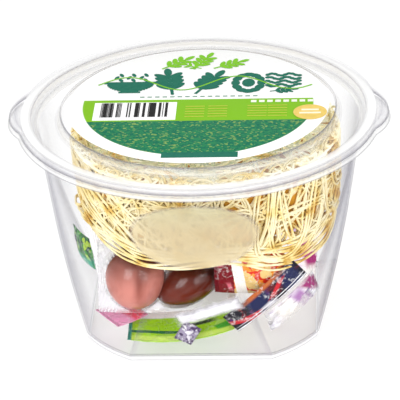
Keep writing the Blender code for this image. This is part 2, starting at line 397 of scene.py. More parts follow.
def crinkle_group() -> bpy.types.NodeTree:
    """The node group for crumpled film: a ridged height and the white glints on its ridges."""
    def fill(graph: Graph, entry: bpy.types.Node) -> dict[str, object]:
        """Wire the height and the glints."""
        place, scale = entry.outputs["Place"], entry.outputs["Scale"]
        broad = graph.noise(place, scale, 3.0, 0.6)
        ridge = graph.math("ABSOLUTE", graph.math("SUBTRACT", broad, 0.5))
        sharp = graph.ramp(ridge, 0.055, 0.0)
        fine = graph.noise(place, graph.math("MULTIPLY", scale, 3.1), 2.0, 1.5)
        glint = graph.math("MULTIPLY", sharp, graph.ramp(fine, 0.42, 0.62))
        height = graph.math("ADD", graph.math("MULTIPLY", sharp, 0.6), fine)
        return {"Height": height, "Glint": glint}
    return node_group("film_crinkle", {"Place": "Vector", "Scale": "Float"},
                      {"Height": "Float", "Glint": "Float"}, fill)


def mottle_group() -> bpy.types.NodeTree:
    """The node group for small angular patches, as of printed leaves or dried flakes."""
    def fill(graph: Graph, entry: bpy.types.Node) -> dict[str, object]:
        """Wire the two random shares of a patch."""
        cells = graph.node("TexVoronoi")
        graph.feed_all(cells, Vector=entry.outputs["Place"], Scale=entry.outputs["Scale"])
        red, green, _ = graph.axes(cells.outputs["Color"])
        return {"Share": red, "Second": green}
    return node_group("print_mottle", {"Place": "Vector", "Scale": "Float"},
                      {"Share": "Float", "Second": "Float"}, fill)


def new_material(name: str) -> tuple[Graph, bpy.types.Node, bpy.types.Material]:
    """Start a material.

    Args:
        name: Its name.

    Returns:
        Its graph, its shader and the material.
    """
    material = bpy.data.materials.new(name)
    material.use_nodes = True
    return Graph(material.node_tree), material.node_tree.nodes["Principled BSDF"], material


@dataclass(frozen=True)
class Band:
    """A band of a clear shell, by radius or height, with its own colour and cover."""

    low: float
    high: float
    colour: str
    cover: float
    soft: float = 0.0004
    by_height: bool = False

    def mask(self, graph: Graph, radius: object, height: object) -> bpy.types.NodeSocket:
        """Wire the band's mask.

        Args:
            graph: The material's graph.
            radius: The distance from the axis.
            height: The height.

        Returns:
            The mask from 0 to 1.
        """
        read = height if self.by_height else radius
        return graph.math(
            "MULTIPLY", graph.ramp(read, self.low - self.soft, self.low + self.soft),
            graph.ramp(read, self.high + self.soft, self.high - self.soft))


@dataclass(frozen=True)
class Badge:
    """The bare moulded badge: an oval that is cream and cloudy, greyer at its top."""

    x: float = 0.0001
    z: float = 0.0630
    half_x: float = 0.0242
    half_z: float = 0.0146
    rise: float = 0.00045
    colour: str = "D6C6A2"
    top_colour: str = "CDC6A4"
    cover: float = 0.52
    cloud_range: tuple[float, float] = (0.86, 1.12)
    edge_soft: float = 0.09

    def reach(self, x: float, z: float) -> float:
        """Distance from the badge's centre, 1 at its edge."""
        return math.hypot((x - self.x) / self.half_x, (z - self.z) / self.half_z)

    def over(self, graph: Graph, place: object, colour: object,
             cover: object) -> tuple[bpy.types.NodeSocket, bpy.types.NodeSocket]:
        """Lay the badge over the shell's colour and cover.

        Args:
            graph: The material's graph.
            place: Object coordinates.
            colour: The shell's colour.
            cover: The shell's cover.

        Returns:
            The new colour and cover.
        """
        x, y, z = graph.axes(place)
        stamp = Stamp(self.x, self.z, self.half_x, self.half_z, 0, Stencil.ELLIPSE, self.edge_soft)
        mask = graph.math("MULTIPLY", stamp.mask(graph, graph.joined(x, z, 0.0)),
                          graph.math("LESS_THAN", y, 0.0))
        cloud = graph.noise(place, 80.0, 2.0)
        tone = graph.mix(graph.ramp(z, self.z, self.z + self.half_z), linear(self.colour),
                         linear(self.top_colour))
        low, high = (share * self.cover for share in self.cloud_range)
        own = graph.math("MULTIPLY", mask, graph.ramp(cloud, 0.3, 0.7, low, high))
        return graph.mix(mask, colour, tone), graph.math("MAXIMUM", cover, own)


@dataclass(frozen=True)
class ClearShell:
    """Thin clear plastic: unseen face on. The grey along its wall is painted reflection; the grey on its
    lower flats and the dark lines on its creases, edges and silhouette are painted shade.
    """

    tint: str
    reflection_cover: float
    reflection_power: float
    line_cover: float
    outline: float
    outline_range: tuple[float, float]
    bands: tuple[Band, ...]
    face_cover: float = 0.002
    line_colour: str = "6A6A74"
    facet_shade_colour: str = "B8AEC0"
    facet_shade_cover: float = 0.07
    calm_share: float = 0.2
    roughness: float = 0.06
    badge: Badge | None = None

    def material(self, name: str) -> bpy.types.Material:
        """Build the material.

        Args:
            name: Its name.

        Returns:
            The material.
        """
        graph, shader, material = new_material(name)
        place = graph.place()
        x, y, z = graph.axes(place)
        radius = graph.length(x, y)
        # Painted reflection: the tint covers the wall more at a grazing look, less toward the middle of
        # each flat, in streaks.
        calm = graph.ramp(graph.mark("calm"), 0.0, 1.0, 1.0, self.calm_share)
        edge = graph.math("MULTIPLY", graph.math("POWER", graph.facing(), self.reflection_power), calm)
        cover = graph.math("ADD", graph.math("MULTIPLY", edge, self.reflection_cover), self.face_cover)
        colour: object = linear(self.tint)
        streaks = graph.noise(graph.stretched(place, (1, 1, 0.12)), 55.0, 3.0)
        cover = graph.math("MULTIPLY", cover, graph.ramp(streaks, 0.25, 0.75, 0.75, 1.25))
        for band in self.bands:
            mask = band.mask(graph, radius, z)
            colour = graph.mix(mask, colour, linear(band.colour))
            cover = graph.math("MAXIMUM", cover, graph.math("MULTIPLY", mask, band.cover))
        # Painted shade: a grey on the lower part of each flat, for the shaded floor under the cup seen
        # through it.
        facet = graph.mark("facet")
        colour = graph.mix(facet, colour, linear(self.facet_shade_colour))
        cover = graph.math("MAXIMUM", cover, graph.math("MULTIPLY", facet, self.facet_shade_cover))
        # Painted shade: dark lines on the marked creases and edges, and at the silhouette by a grazing
        # look.
        outline = graph.math("MULTIPLY", graph.ramp(graph.facing(), *self.outline_range), self.outline)
        line = graph.math("MAXIMUM", graph.mark("line"), outline)
        colour = graph.mix(line, colour, linear(self.line_colour))
        cover = graph.math("MAXIMUM", cover, graph.math("MULTIPLY", line, self.line_cover))
        if self.badge:
            colour, cover = self.badge.over(graph, place, colour, cover)
        graph.feed_all(shader, Base_Color=colour, Alpha=graph.math("MINIMUM", cover, 1.0),
                       Normal=graph.bump(streaks, 0.15, 0.0003), Roughness=self.roughness, IOR=1.45)
        return material


@dataclass(frozen=True)
class LabelPrint:
    """Satin paper with a lime band and a mottled green field under it."""

    paper: str = "FDFDFC"
    lime: str = "80BC18"
    green: str = "106A50"
    second_green: str = "267F52"
    fleck: str = "7FA258"
    disc_radius: float = 0.0456
    edge: float = 0.0001
    mottle_scale: float = 1150.0
    band_low: float = -0.0153
    band_high: float = 0.0041

    def material(self, name: str) -> bpy.types.Material:
        """Build the material.

        Args:
            name: Its name.

        Returns:
            The material.
        """
        graph, shader, material = new_material(name)
        x, y, _ = graph.axes(graph.place())
        flat = graph.joined(x, y, 0.0)
        disc = Stamp(0, 0, self.disc_radius, self.disc_radius, 0, Stencil.ELLIPSE, 0.008)
        inside = disc.mask(graph, flat)
        below_top, below_band = (graph.ramp(y, limit + self.edge, limit - self.edge)
                                 for limit in (self.band_high, self.band_low))
        mottle = graph.group(mottle_group(), Place=graph.stretched(flat, (1, 1.5, 1)),
                             Scale=self.mottle_scale)
        broad = graph.noise(flat, 420.0, 2.0)
        share = graph.math("ADD", graph.math("MULTIPLY", mottle.outputs[0], 0.6),
                           graph.math("MULTIPLY", broad, 0.4))
        field_colour = graph.mix(graph.ramp(share, 0.35, 0.62), linear(self.green),
                                 linear(self.second_green))
        field_colour = graph.mix(graph.ramp(mottle.outputs[1], 0.84, 0.92), field_colour,
                                 linear(self.fleck))
        colour = graph.mix(graph.math("MULTIPLY", inside, below_top), linear(self.paper),
                           linear(self.lime))
        colour = graph.mix(graph.math("MULTIPLY", inside, below_band), colour, field_colour)
        graph.feed_all(
            shader, Base_Color=colour, Roughness=graph.ramp(broad, 0.3, 0.7, *PRINT_ROUGHNESS),
            Normal=graph.bump(graph.noise(flat, 900.0), 0.04, 0.0001), Specular_IOR_Level=PRINT_GLOSS)
        return material


@dataclass(frozen=True)
class PlainInk:
    """One flat ink, with a faint grain in its tone and gloss."""

    colour: str
    grain_shade: float = 0.93

    def material(self, name: str) -> bpy.types.Material:
        """Build the material.

        Args:
            name: Its name.

        Returns:
            The material.
        """
        graph, shader, material = new_material(name)
        grain = graph.noise(graph.place(), 500.0, 2.0)
        tone = linear(self.colour)
        darker = [self.grain_shade * part for part in tone]
        graph.feed_all(
            shader, Base_Color=graph.mix(graph.ramp(grain, 0.4, 0.7), tone, darker),
            Roughness=graph.ramp(grain, 0.3, 0.7, *PRINT_ROUGHNESS), Specular_IOR_Level=PRINT_GLOSS)
        return material


@dataclass(frozen=True)
class DryNoodle:
    """Dried wheat strands: pale cream with ochre stretches and a faint floury grain."""

    pale: str = "FAF0CC"
    warm: str = "F0D88C"
    deep: str = "D0A244"
    deep_start: float = 0.56
    deep_run: float = 0.12
    painted_glow: float = 0.0

    def material(self, name: str) -> bpy.types.Material:
        """Build the material.

        Args:
            name: Its name.

        Returns:
            The material.
        """
        graph, shader, material = new_material(name)
        place = graph.place()
        broad = graph.noise(place, 95.0, 3.0, 0.4)
        fine = graph.noise(place, 700.0, 2.0)
        colour = graph.mix(graph.ramp(broad, 0.38, 0.62), linear(self.pale), linear(self.warm))
        deep = graph.ramp(broad, self.deep_start, self.deep_start + self.deep_run)
        colour = graph.mix(deep, colour, linear(self.deep))
        colour = graph.mix(graph.ramp(fine, 0.45, 0.75, 0.0, 0.35), colour, linear(self.warm))
        graph.feed_all(
            shader, Base_Color=colour, Roughness=graph.ramp(fine, 0.3, 0.7, 0.42, 0.6),
            Normal=graph.bump(fine, 0.2, 0.0001), Specular_IOR_Level=0.3)
        # Painted light: the strands glow with their own colour.
        if self.painted_glow:
            graph.feed_all(shader, Emission_Color=colour, Emission_Strength=self.painted_glow)
        return material


@dataclass(frozen=True)
class BraisedEgg:
    """A braised egg: brown and mottled, with painted shade toward its top under the noodle cake, and a
    wet gloss.
    """

    light: str
    dark: str
    top: str
    shade_low: float
    shade_high: float
    ragged: float = 0.008

    def material(self, name: str) -> bpy.types.Material:
        """Build the material.

        Args:
            name: Its name.

        Returns:
            The material.
        """
        graph, shader, material = new_material(name)
        place = graph.place()
        _, _, z = graph.axes(place)
        broad = graph.noise(place, 60.0, 3.0, 0.6)
        fine = graph.noise(place, 600.0, 3.0)
        colour = graph.mix(graph.ramp(broad, 0.35, 0.68), linear(self.light), linear(self.dark))
        colour = graph.mix(graph.ramp(fine, 0.55, 0.8, 0.0, 0.2), colour, linear(self.dark))
        # Painted shade: toward the top the colour turns to the top colour, along a ragged line.
        shift = graph.math("MULTIPLY", graph.math("SUBTRACT", broad, 0.5), self.ragged)
        height = graph.math("ADD", z, shift)
        colour = graph.mix(graph.ramp(height, self.shade_low, self.shade_high), colour, linear(self.top))
        graph.feed_all(
            shader, Base_Color=colour, Roughness=graph.ramp(broad, 0.3, 0.7, 0.18, 0.28),
            Normal=graph.bump(fine, 0.06, 0.0002), Specular_IOR_Level=0.25, Coat_Weight=0.25,
            Coat_Roughness=0.12)
        return material


@dataclass(frozen=True)
class ClearFilm:
    """Clear film drawn over food: unseen where it is taut, cloudy white where it is slack."""

    reflection_cover: float = 0.10
    glint_cover: float = 0.80
    taut_glint: float = 0.03
    slack_cover: float = 0.85
    seal_haze: float = 0.30
    seal_range: tuple[float, float] = (0.40, 0.49)
    apron_cover: float = 0.92
    apron_u: tuple[float, float] = (0.44, 0.56)
    apron_v: tuple[float, float] = (0.40, 0.22)
    crimp_cover: float = 0.7
    crimp_end: float = 0.15
    crimp_lines: float = 6.0
    crimp_bow: float = 0.25
    tint: str = "EFEDF1"
    scale: float = 95.0

    def material(self, name: str) -> bpy.types.Material:
        """Build the material.

        Args:
            name: Its name.

        Returns:
            The material.
        """
        graph, shader, material = new_material(name)
        place = graph.place()
        crinkle = graph.group(crinkle_group(), Place=graph.stretched(place, (0.6, 1, 1)),
                              Scale=self.scale)
        u, v, _ = graph.axes(graph.place("UV"))
        across = graph.math("SUBTRACT", v, 0.5)
        slack = graph.mark("slack")
        # Painted reflection: the film whitens at a grazing look.
        cover = graph.math("MULTIPLY", graph.math("POWER", graph.facing(), 3.0), self.reflection_cover)
        glint = graph.math("MULTIPLY", crinkle.outputs["Glint"], graph.math(
            "MULTIPLY", graph.ramp(slack, 0.0, 0.7, self.taut_glint, 1.0), self.glint_cover))
        cloud = graph.ramp(graph.noise(place, 75.0, 3.0, 0.5), 0.32, 0.52, 0.10, 1.0)
        haze = graph.math("MULTIPLY", graph.math("MULTIPLY", slack, cloud), self.slack_cover)
        haze = graph.math("MULTIPLY", haze, graph.ramp(
            graph.math("ABSOLUTE", across), *self.seal_range, 1.0, self.seal_haze))
        apron = graph.math("MULTIPLY", graph.ramp(v, *self.apron_v), graph.ramp(u, *self.apron_u))
        apron = graph.math("MULTIPLY", graph.math("MULTIPLY", apron, slack), self.apron_cover)
        haze = graph.math("MAXIMUM", haze, apron)
        bowed = graph.math("ADD", u, graph.math(
            "MULTIPLY", graph.math("MULTIPLY", across, across), self.crimp_bow))
        wave = graph.math("SINE", graph.math("MULTIPLY", bowed,
                                             2 * math.pi * self.crimp_lines / self.crimp_end))
        crimp = graph.math("MULTIPLY", graph.ramp(wave, 0.1, 0.7),
                           graph.ramp(u, self.crimp_end, self.crimp_end - 0.02))
        for part in (glint, haze, graph.math("MULTIPLY", crimp, self.crimp_cover)):
            cover = graph.math("MAXIMUM", cover, part)
        height = graph.math("ADD", crinkle.outputs["Height"], crimp)
        graph.feed_all(
            shader, Alpha=cover, Base_Color=graph.mix(glint, linear(self.tint), linear("FFFFFF")),
            Normal=graph.bump(height, 0.5, 0.0006), Roughness=0.12)
        return material


@dataclass(frozen=True)
class Flakes:
    """Random small patches of a colour in a printed picture."""

    colour: str
    scale: float
    low: float
    high: float


@dataclass(frozen=True)
class PrintedFilm:
    """Printed sachet film: colour fields along the sachet, flakes, creases and crimped seals."""

    base: str
    inks: tuple[Ink, ...] = ()
    flakes: tuple[Flakes, ...] = ()
    crinkle: float = 140.0
    glint: float = 0.6
    bump: float = 0.0006
    metallic: float = 0.0
    roughness: float = 0.28
    cover: float = 1.0
    least_cover: float = 0.15
    seal: float = 0.07
    crimp_lines: float = 5.0
    crimp_height: float = 0.4
    base_shade: float = 0.86
    painted_glow: float = 0.0
    back_inks: tuple[Ink, ...] = ()
    streaked: bool = False
    clear_rim: float = 0.0
    rim_ends: float = 3.0
    rim_ragged: float = 0.55
    rim_start: float = -0.12
    rim_least: float = 0.08

    def picture(self, graph: Graph, place: object, sheet: object) -> bpy.types.NodeSocket:
        """Wire the print: its base, its flakes, its inks and the inks of the back.

        Args:
            graph: The material's graph.
            place: Object coordinates.
            sheet: The sheet's own coordinates.

        Returns:
            The colour.
        """
        base = linear(self.base)
        colour: object = graph.mix(graph.noise(place, 150.0, 2.0), base,
                                   [self.base_shade * part for part in base])
        for index, flake in enumerate(self.flakes):
            if self.streaked:
                source = graph.stretched(sheet, (0.010, 0.034 + 0.008 * index, 1), (0, 0, 3 * index))
            else:
                source = graph.stretched(place, (1, 1 + 0.3 * index, 1), (0, 0, 40 * index))
            spots = graph.noise(source, flake.scale, 2.0, 0.8)
            colour = graph.mix(graph.ramp(spots, flake.low, flake.high), colour, linear(flake.colour))
        for ink in self.inks:
            colour = ink.over(graph, sheet, colour)
        if self.back_inks:
            printed = colour
            for ink in self.back_inks:
                printed = ink.over(graph, sheet, printed)
            colour = graph.mix(graph.mark("back"), colour, printed)
        return colour

    def rim_cover(self, graph: Graph, place: object, u: object, v: object) -> bpy.types.NodeSocket:
        """Wire a cover that fades out raggedly at the sheet's rim.

        Args:
            graph: The material's graph.
            place: Object coordinates.
            u: The place along the sheet, from 0 to 1.
            v: The place across it.

        Returns:
            The cover.
        """
        from_side, from_end = (graph.math("MINIMUM", part, graph.math("SUBTRACT", 1.0, part))
                               for part in (v, u))
        inner = graph.math("MINIMUM", from_side, graph.math("MULTIPLY", from_end, self.rim_ends))
        inner = graph.math("ADD", inner, graph.math(
            "MULTIPLY", graph.noise(place, 210.0, 2.0), -self.rim_ragged * self.clear_rim))
        return graph.ramp(inner, self.rim_start, 0.5 * self.clear_rim + self.rim_start,
                          self.rim_least, 1.0)

    def material(self, name: str) -> bpy.types.Material:
        """Build the material.

        Args:
            name: Its name.

        Returns:
            The material.
        """
        graph, shader, material = new_material(name)
        place = graph.place()
        sheet = graph.place("UV")
        u, v, _ = graph.axes(sheet)
        ends = graph.ramp(graph.math("ABSOLUTE", graph.math("SUBTRACT", u, 0.5)),
                          0.5 - self.seal, 0.5 - 0.8 * self.seal)
        crinkle = graph.group(crinkle_group(), Place=place, Scale=self.crinkle)
        glint = graph.math("MULTIPLY", crinkle.outputs["Glint"], self.glint)
        colour = graph.mix(glint, self.picture(graph, place, sheet), linear("FFFFFF"))
        crimp = graph.math("MULTIPLY", ends, graph.math(
            "SINE", graph.math("MULTIPLY", u, 2 * math.pi / self.seal * self.crimp_lines)))
        height = graph.math("ADD", crinkle.outputs["Height"],
                            graph.math("MULTIPLY", crimp, self.crimp_height))
        graph.feed_all(
            shader, Base_Color=colour, Normal=graph.bump(height, 0.7, self.bump),
            Specular_IOR_Level=0.3, Metallic=self.metallic, Roughness=self.roughness)
        if self.cover != 1.0:
            cloud = graph.ramp(graph.noise(place, 90.0, 2.0, 0.6), 0.35, 0.65)
            cover = graph.math("MAXIMUM", graph.math("MULTIPLY", cloud, self.cover), glint)
            graph.feed_all(shader, Alpha=graph.math("MAXIMUM", cover, self.least_cover, clamp=True))
        if self.clear_rim:
            graph.feed_all(shader, Alpha=self.rim_cover(graph, place, u, v))
        # Painted light: the film glows with its own colour, for sachets that lie in shade.
        if self.painted_glow:
            graph.feed_all(shader, Emission_Color=colour, Emission_Strength=self.painted_glow)
        return material


def deselected() -> None:
    """Leave edit mode and deselect all, so that an operator acts on what is added next."""
    if bpy.context.object and bpy.context.object.mode != "OBJECT":
        bpy.ops.object.mode_set(mode="OBJECT")
    bpy.ops.object.select_all(action="DESELECT")


def activated(piece: bpy.types.Object) -> None:
    """Make a piece the active one and the only selected one."""
    deselected()
    piece.select_set(True)
    bpy.context.view_layer.objects.active = piece


def taken(name: str) -> bpy.types.Object:
    """Name the object that was just added, put its place into its mesh and return it."""
    piece = bpy.context.object
    piece.name = name
    piece.data.name = name
    piece.data.transform(piece.matrix_world)
    piece.matrix_world = Matrix.Identity(4)
    return piece


def applied(piece: bpy.types.Object, kind: str, **settings: object) -> None:
    """Add a modifier to a piece and apply it.

    Args:
        piece: The piece.
        kind: The modifier's type.
        settings: Its settings.
    """
    activated(piece)
    modifier = piece.modifiers.new(kind.lower(), kind)
    for name, value in settings.items():
        setattr(modifier, name, value)
    bpy.ops.object.modifier_apply(modifier=modifier.name)


def smoothed(piece: bpy.types.Object, angle: float) -> None:
    """Shade a piece smooth, but keep edges sharper than an angle in degrees."""
    activated(piece)
    bpy.ops.object.shade_smooth_by_angle(angle=math.radians(angle))


def drawn_up(name: str, rings: Sequence[Ring], marks: dict[str, Mark],
             rise: bool) -> bpy.types.Object:
    """Model a thin shell by extruding a circle's edge from ring to ring.

    Args:
        name: The piece's name.
        rings: The rings, from the closed end to the open edge, with equal numbers of points.
        marks: For each name of a mark, its strength by ring and by place in the ring.
        rise: Whether the closed end's outer side looks up.

    Returns:
        The shell as one surface, closed at its first ring.
    """
    deselected()
    bpy.ops.mesh.primitive_circle_add(vertices=len(rings[0]), radius=1.0, fill_type="NGON")
    piece = taken(name)
    for vert, point in zip(piece.data.vertices, rings[0]):
        vert.co = point
    bpy.ops.object.mode_set(mode="EDIT")
    bpy.ops.mesh.select_all(action="SELECT")
    mesh = bmesh.from_edit_mesh(piece.data)
    at = {vert.co.to_tuple(DIGITS): index for index, vert in enumerate(mesh.verts)}
    for parts, chosen in ((mesh.faces, False), (mesh.edges, True)):
        for part in parts:
            part.select_set(chosen)
    mesh.select_mode = {"EDGE"}
    bpy.ops.mesh.select_mode(type="EDGE")
    for ring in rings[1:]:
        bpy.ops.mesh.extrude_edges_move()
        mesh = bmesh.from_edit_mesh(piece.data)
        fresh = [(vert, at[vert.co.to_tuple(DIGITS)]) for vert in mesh.verts if vert.select]
        for vert, index in fresh:
            vert.co = ring[index]
        at = {vert.co.to_tuple(DIGITS): index for vert, index in fresh}
        bmesh.update_edit_mesh(piece.data)
    bpy.ops.mesh.select_all(action="SELECT")
    bpy.ops.mesh.normals_make_consistent(inside=False)
    bpy.ops.object.mode_set(mode="OBJECT")
    if (piece.data.polygons[0].normal.z > 0) != rise:
        piece.data.flip_normals()
    where = {point.to_tuple(DIGITS): (level, column)
             for level, ring in enumerate(rings) for column, point in enumerate(ring)}
    spots = [where[vert.co.to_tuple(DIGITS)] for vert in piece.data.vertices]
    for label, mark in marks.items():
        marked(piece, label, [mark(*spot) for spot in spots])
    return piece


def marked(piece: bpy.types.Object, name: str, values: Sequence[float]) -> None:
    """Give a piece a number at each point, which its material reads.

    Args:
        piece: The piece.
        name: The mark's name.
        values: A number for each point.
    """
    mark = piece.data.attributes.new(name, "FLOAT", "POINT")
    mark.data.foreach_set("value", values)


def dressed(piece: bpy.types.Object, material: bpy.types.Material, slot: str,
            *nodes: str) -> bpy.types.Object:
    """Give a piece its material, and say what it stands for.

    Args:
        piece: The piece.
        material: Its material.
        slot: Not used.
        nodes: The solids that it stands for.

    Returns:
        The piece.
    """
    piece.data.materials.clear()
    piece.data.materials.append(material)
    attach(piece, BODY)
    if nodes:
        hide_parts(*nodes)
    LOG.info("%s: %d faces", piece.name, len(piece.data.polygons))
    return piece


def softened(line: Line, reach: float) -> Line:
    """Round the corners of a profile.

    Args:
        line: Points of radius and height.
        reach: How far from each corner the round starts.

    Returns:
        The line with three points at each corner.
    """
    made = [line[0]]
    for before, here, after in zip(line, line[1:], line[2:]):
        corner = Vector(here)
        back = Vector(before) - corner
        ahead = Vector(after) - corner
        first = corner + back.normalized() * min(reach, 0.45 * back.length)
        last = corner + ahead.normalized() * min(reach, 0.45 * ahead.length)
        middle = (first + last) / 4 + corner / 2
        made += [tuple(first), tuple(middle), tuple(last)]
    return made + [line[-1]]


def sheet_side(line: Line, offset: float) -> Line:
    """One side of a sheet from its centre line.

    Args:
        line: The centre line as radius and height, from the axis outwards.
        offset: How far above the line the side is, negative for the under side.

    Returns:
        The side's line.
    """
    side = []
    for i, point in enumerate(line):
        normals = []
        for first, last in ((i - 1, i), (i, i + 1)):
            if first >= 0 and last < len(line):
                run = (Vector(line[last]) - Vector(line[first])).normalized()
                normals.append(Vector((-run.y, run.x)))
        normal = sum(normals, Vector((0, 0))).normalized()
        side.append(tuple(Vector(point) + normal * (offset / normal.dot(normals[0]))))
    return side


@dataclass(frozen=True)
class ShellPlan:
    """The plan of the shell's rings: four quarters, each a flat stretch and an arc, and two tabs."""

    flat_steps: int = 16
    arc_steps: int = 40
    rim_flat_half: float = math.radians(12)
    tab_start: float = 0.0699
    tab_run: float = 0.0009
    tab_arc_radius: float = 0.0280
    tab_reach: float = 0.0038
    circle: float = 0.0710

    @property
    def quarter(self) -> int:
        """How many points of a ring one quarter has."""
        return self.flat_steps + self.arc_steps

    def angles(self, flat_half: float) -> list[float]:
        """Angles of one ring.

        Args:
            flat_half: Half the angle of a flat stretch.

        Returns:
            The angles, in order.
        """
        made = []
        arc = math.pi / 2 - 2 * flat_half
        for quarter in range(4):
            middle = quarter * math.pi / 2
            made += [middle + flat_half * (2 * i / self.flat_steps - 1) for i in range(self.flat_steps)]
            made += [middle + flat_half + arc * i / self.arc_steps for i in range(self.arc_steps)]
        return made

    def tab(self, angle: float) -> float:
        """How far a tab's round end stands past the shell's circle at an angle."""
        local = abs((angle + math.pi / 2) % math.pi - math.pi / 2)
        centre = self.circle + self.tab_reach - self.tab_arc_radius
        under = self.tab_arc_radius ** 2 - (centre * math.sin(local)) ** 2
        if under <= 0:
            return 0.0
        raw = centre * math.cos(local) + math.sqrt(under) - self.circle
        return max(0.0, raw)

    def section(self, radius: float, flat: float, z: float) -> Ring:
        """One level of the body: a circle cut by four flats.

        Args:
            radius: The circle's radius.
            flat: The distance of the flats from the axis.
            z: The height.

        Returns:
            The ring.
        """
        flat_half = max(math.acos(min(1.0, flat / radius)), self.rim_flat_half)
        ring = []
        for angle in self.angles(flat_half):
            middle = round(angle / (math.pi / 2)) * math.pi / 2
            ring.append(polar(min(radius, flat / math.cos(angle - middle)), angle, z))
        return ring

    def rim(self, radius: float, z: float) -> Ring:
        """One level of a rim, with the tabs.

        Args:
            radius: The circle's radius.
            z: The height.

        Returns:
            The ring.
        """
        grow = min(1.0, max(0.0, (radius - self.tab_start) / self.tab_run))
        return [polar(radius + grow * self.tab(angle), angle, z)
                for angle in self.angles(self.rim_flat_half)]


@dataclass
class Tub:
    """The clear tub: foot, wall with four flats, moulded badge, and a rim with two tabs."""

    plan: ShellPlan = ShellPlan()
    wall: float = 0.00068
    base_radius: float = 0.0544
    base_flat: float = 0.0466
    wall_bottom: float = 0.0024
    wall_top: float = 0.0838
    top_radius: float = 0.0643
    foot_inset: float = 0.0006
    foot_round: float = 0.0005
    flat_bulge: float = 0.0019
    levels: int = 44
    corner: float = 0.0004
    foot_lines: dict[int, float] = field(default_factory=lambda: {1: 0.9, 4: 1.0})
    side_line: float = 0.3
    crease_line: float = 0.25
    crease_fade: tuple[float, float] = (0.05, 0.55)
    rim_lines: dict[int, float] = field(default_factory=lambda: {
        0: 0.35, 5: 0.25, 8: 0.25, 11: 0.35, 16: 0.75})
    facet_fade: tuple[float, float] = (0.02, 0.22)
    rim_line: Line = field(default_factory=lambda: [
        (0.0653, 0.0850), (0.0668, 0.0850), (0.0674, 0.08745),
        (0.0693, 0.08745), (0.0699, 0.0850), (0.07145, 0.0850), (0.07175, 0.0840)])
    badge: Badge = Badge()
    first_wall_ring: int = 5

    def rings(self) -> list[Ring]:
        """The outer side from the foot to the rim's edge.

        Returns:
            The rings.
        """
        corner = self.foot_round
        made = [
            self.plan.section(self.base_radius - self.foot_inset + grow,
                              self.base_flat - self.foot_inset + grow, z)
            for grow, z in (
                (-corner, 0.0), (-0.3 * corner, 0.3 * corner), (0.0, corner),
                (0.0, self.wall_bottom - corner),
                (0.4 * self.foot_inset, self.wall_bottom - 0.2 * corner))
        ]
        for level in range(self.levels + 1):
            share = level / self.levels
            z = self.wall_bottom + (self.wall_top - self.wall_bottom) * share
            circle = self.base_radius + (self.top_radius - self.base_radius) * share
            straight = self.base_flat + (self.top_radius - self.base_flat) * share
            bulge = self.flat_bulge * 4 * share * (1 - share)
            made.append(self.plan.section(circle, straight + bulge, z))
        made += [self.plan.rim(*point)
                 for point in softened(sheet_side(self.rim_line, -self.wall / 2), self.corner)]
        return made

    def raise_badge(self, piece: bpy.types.Object) -> None:
        """Push the moulded badge out of the front wall, with a soft step round it.

        Args:
            piece: The tub's surface.
        """
        for vert in piece.data.vertices:
            if vert.co.y < 0 and vert.co.z < self.wall_top:
                away = self.badge.reach(vert.co.x, vert.co.z)
                out = Vector((vert.co.x, vert.co.y, 0)).normalized()
                vert.co += out * self.badge.rise * (1 - smooth(away, 0.84, 1.06))

    def line(self, level: int, column: int) -> float:
        """Strength of the painted dark line: on the foot, the flats' creases and the rim's edges."""
        wall_ring = level - self.first_wall_ring
        quarter, step = divmod(column, self.plan.quarter)
        if level in self.foot_lines:
            under_tab = quarter % 2 == 0 and step <= self.plan.flat_steps
            return self.foot_lines[level] * (self.side_line if under_tab else 1.0)
        if 0 <= wall_ring <= self.levels:
            on_crease = step in (0, self.plan.flat_steps)
            fade = 1 - smooth(wall_ring / self.levels, *self.crease_fade)
            return self.crease_line * fade if on_crease else 0.0
        return self.rim_lines.get(wall_ring - self.levels - 1, 0.0)

    def facet(self, level: int, column: int) -> float:
        """Strength of the painted shade, a grey on the lower part of each flat."""
        wall_ring = level - self.first_wall_ring
        if column % self.plan.quarter > self.plan.flat_steps or not 0 <= wall_ring <= self.levels:
            return 0.0
        return 1 - smooth(wall_ring / self.levels, *self.facet_fade)

    def calm(self, _: int, column: int) -> float:
        """How much weaker the painted reflection is toward the middle of a flat."""
        return max(0.0, 1 - abs(2 * (column % self.plan.quarter) / self.plan.flat_steps - 1))

    def build(self) -> bpy.types.Object:
        """Model and dress the tub.

        Returns:
            The piece.
        """
        marks = {"line": self.line, "facet": self.facet, "calm": self.calm}
        piece = drawn_up("tub_clear", self.rings(), marks, rise=False)
        self.raise_badge(piece)
        applied(piece, "SOLIDIFY", thickness=self.wall, offset=-1, use_even_offset=True)
        smoothed(piece, 9)
        finish = ClearShell(
            tint="74728A", reflection_cover=1.2, reflection_power=5.6, line_cover=0.80, line_colour="50505A",
            facet_shade_cover=0.075, outline=1.0, outline_range=(0.88, 0.985), badge=self.badge,
            bands=(
                Band(0.0004, 0.0019, "F6F5F8", 0.55, 0.0003, by_height=True),
                # Painted highlight: the white band on the rim.
                Band(0.0838, 0.0900, "FFFFFF", 0.42, by_height=True),
            ))
        return dressed(piece, finish.material("clear_tub"), "clear_tub", "tub")


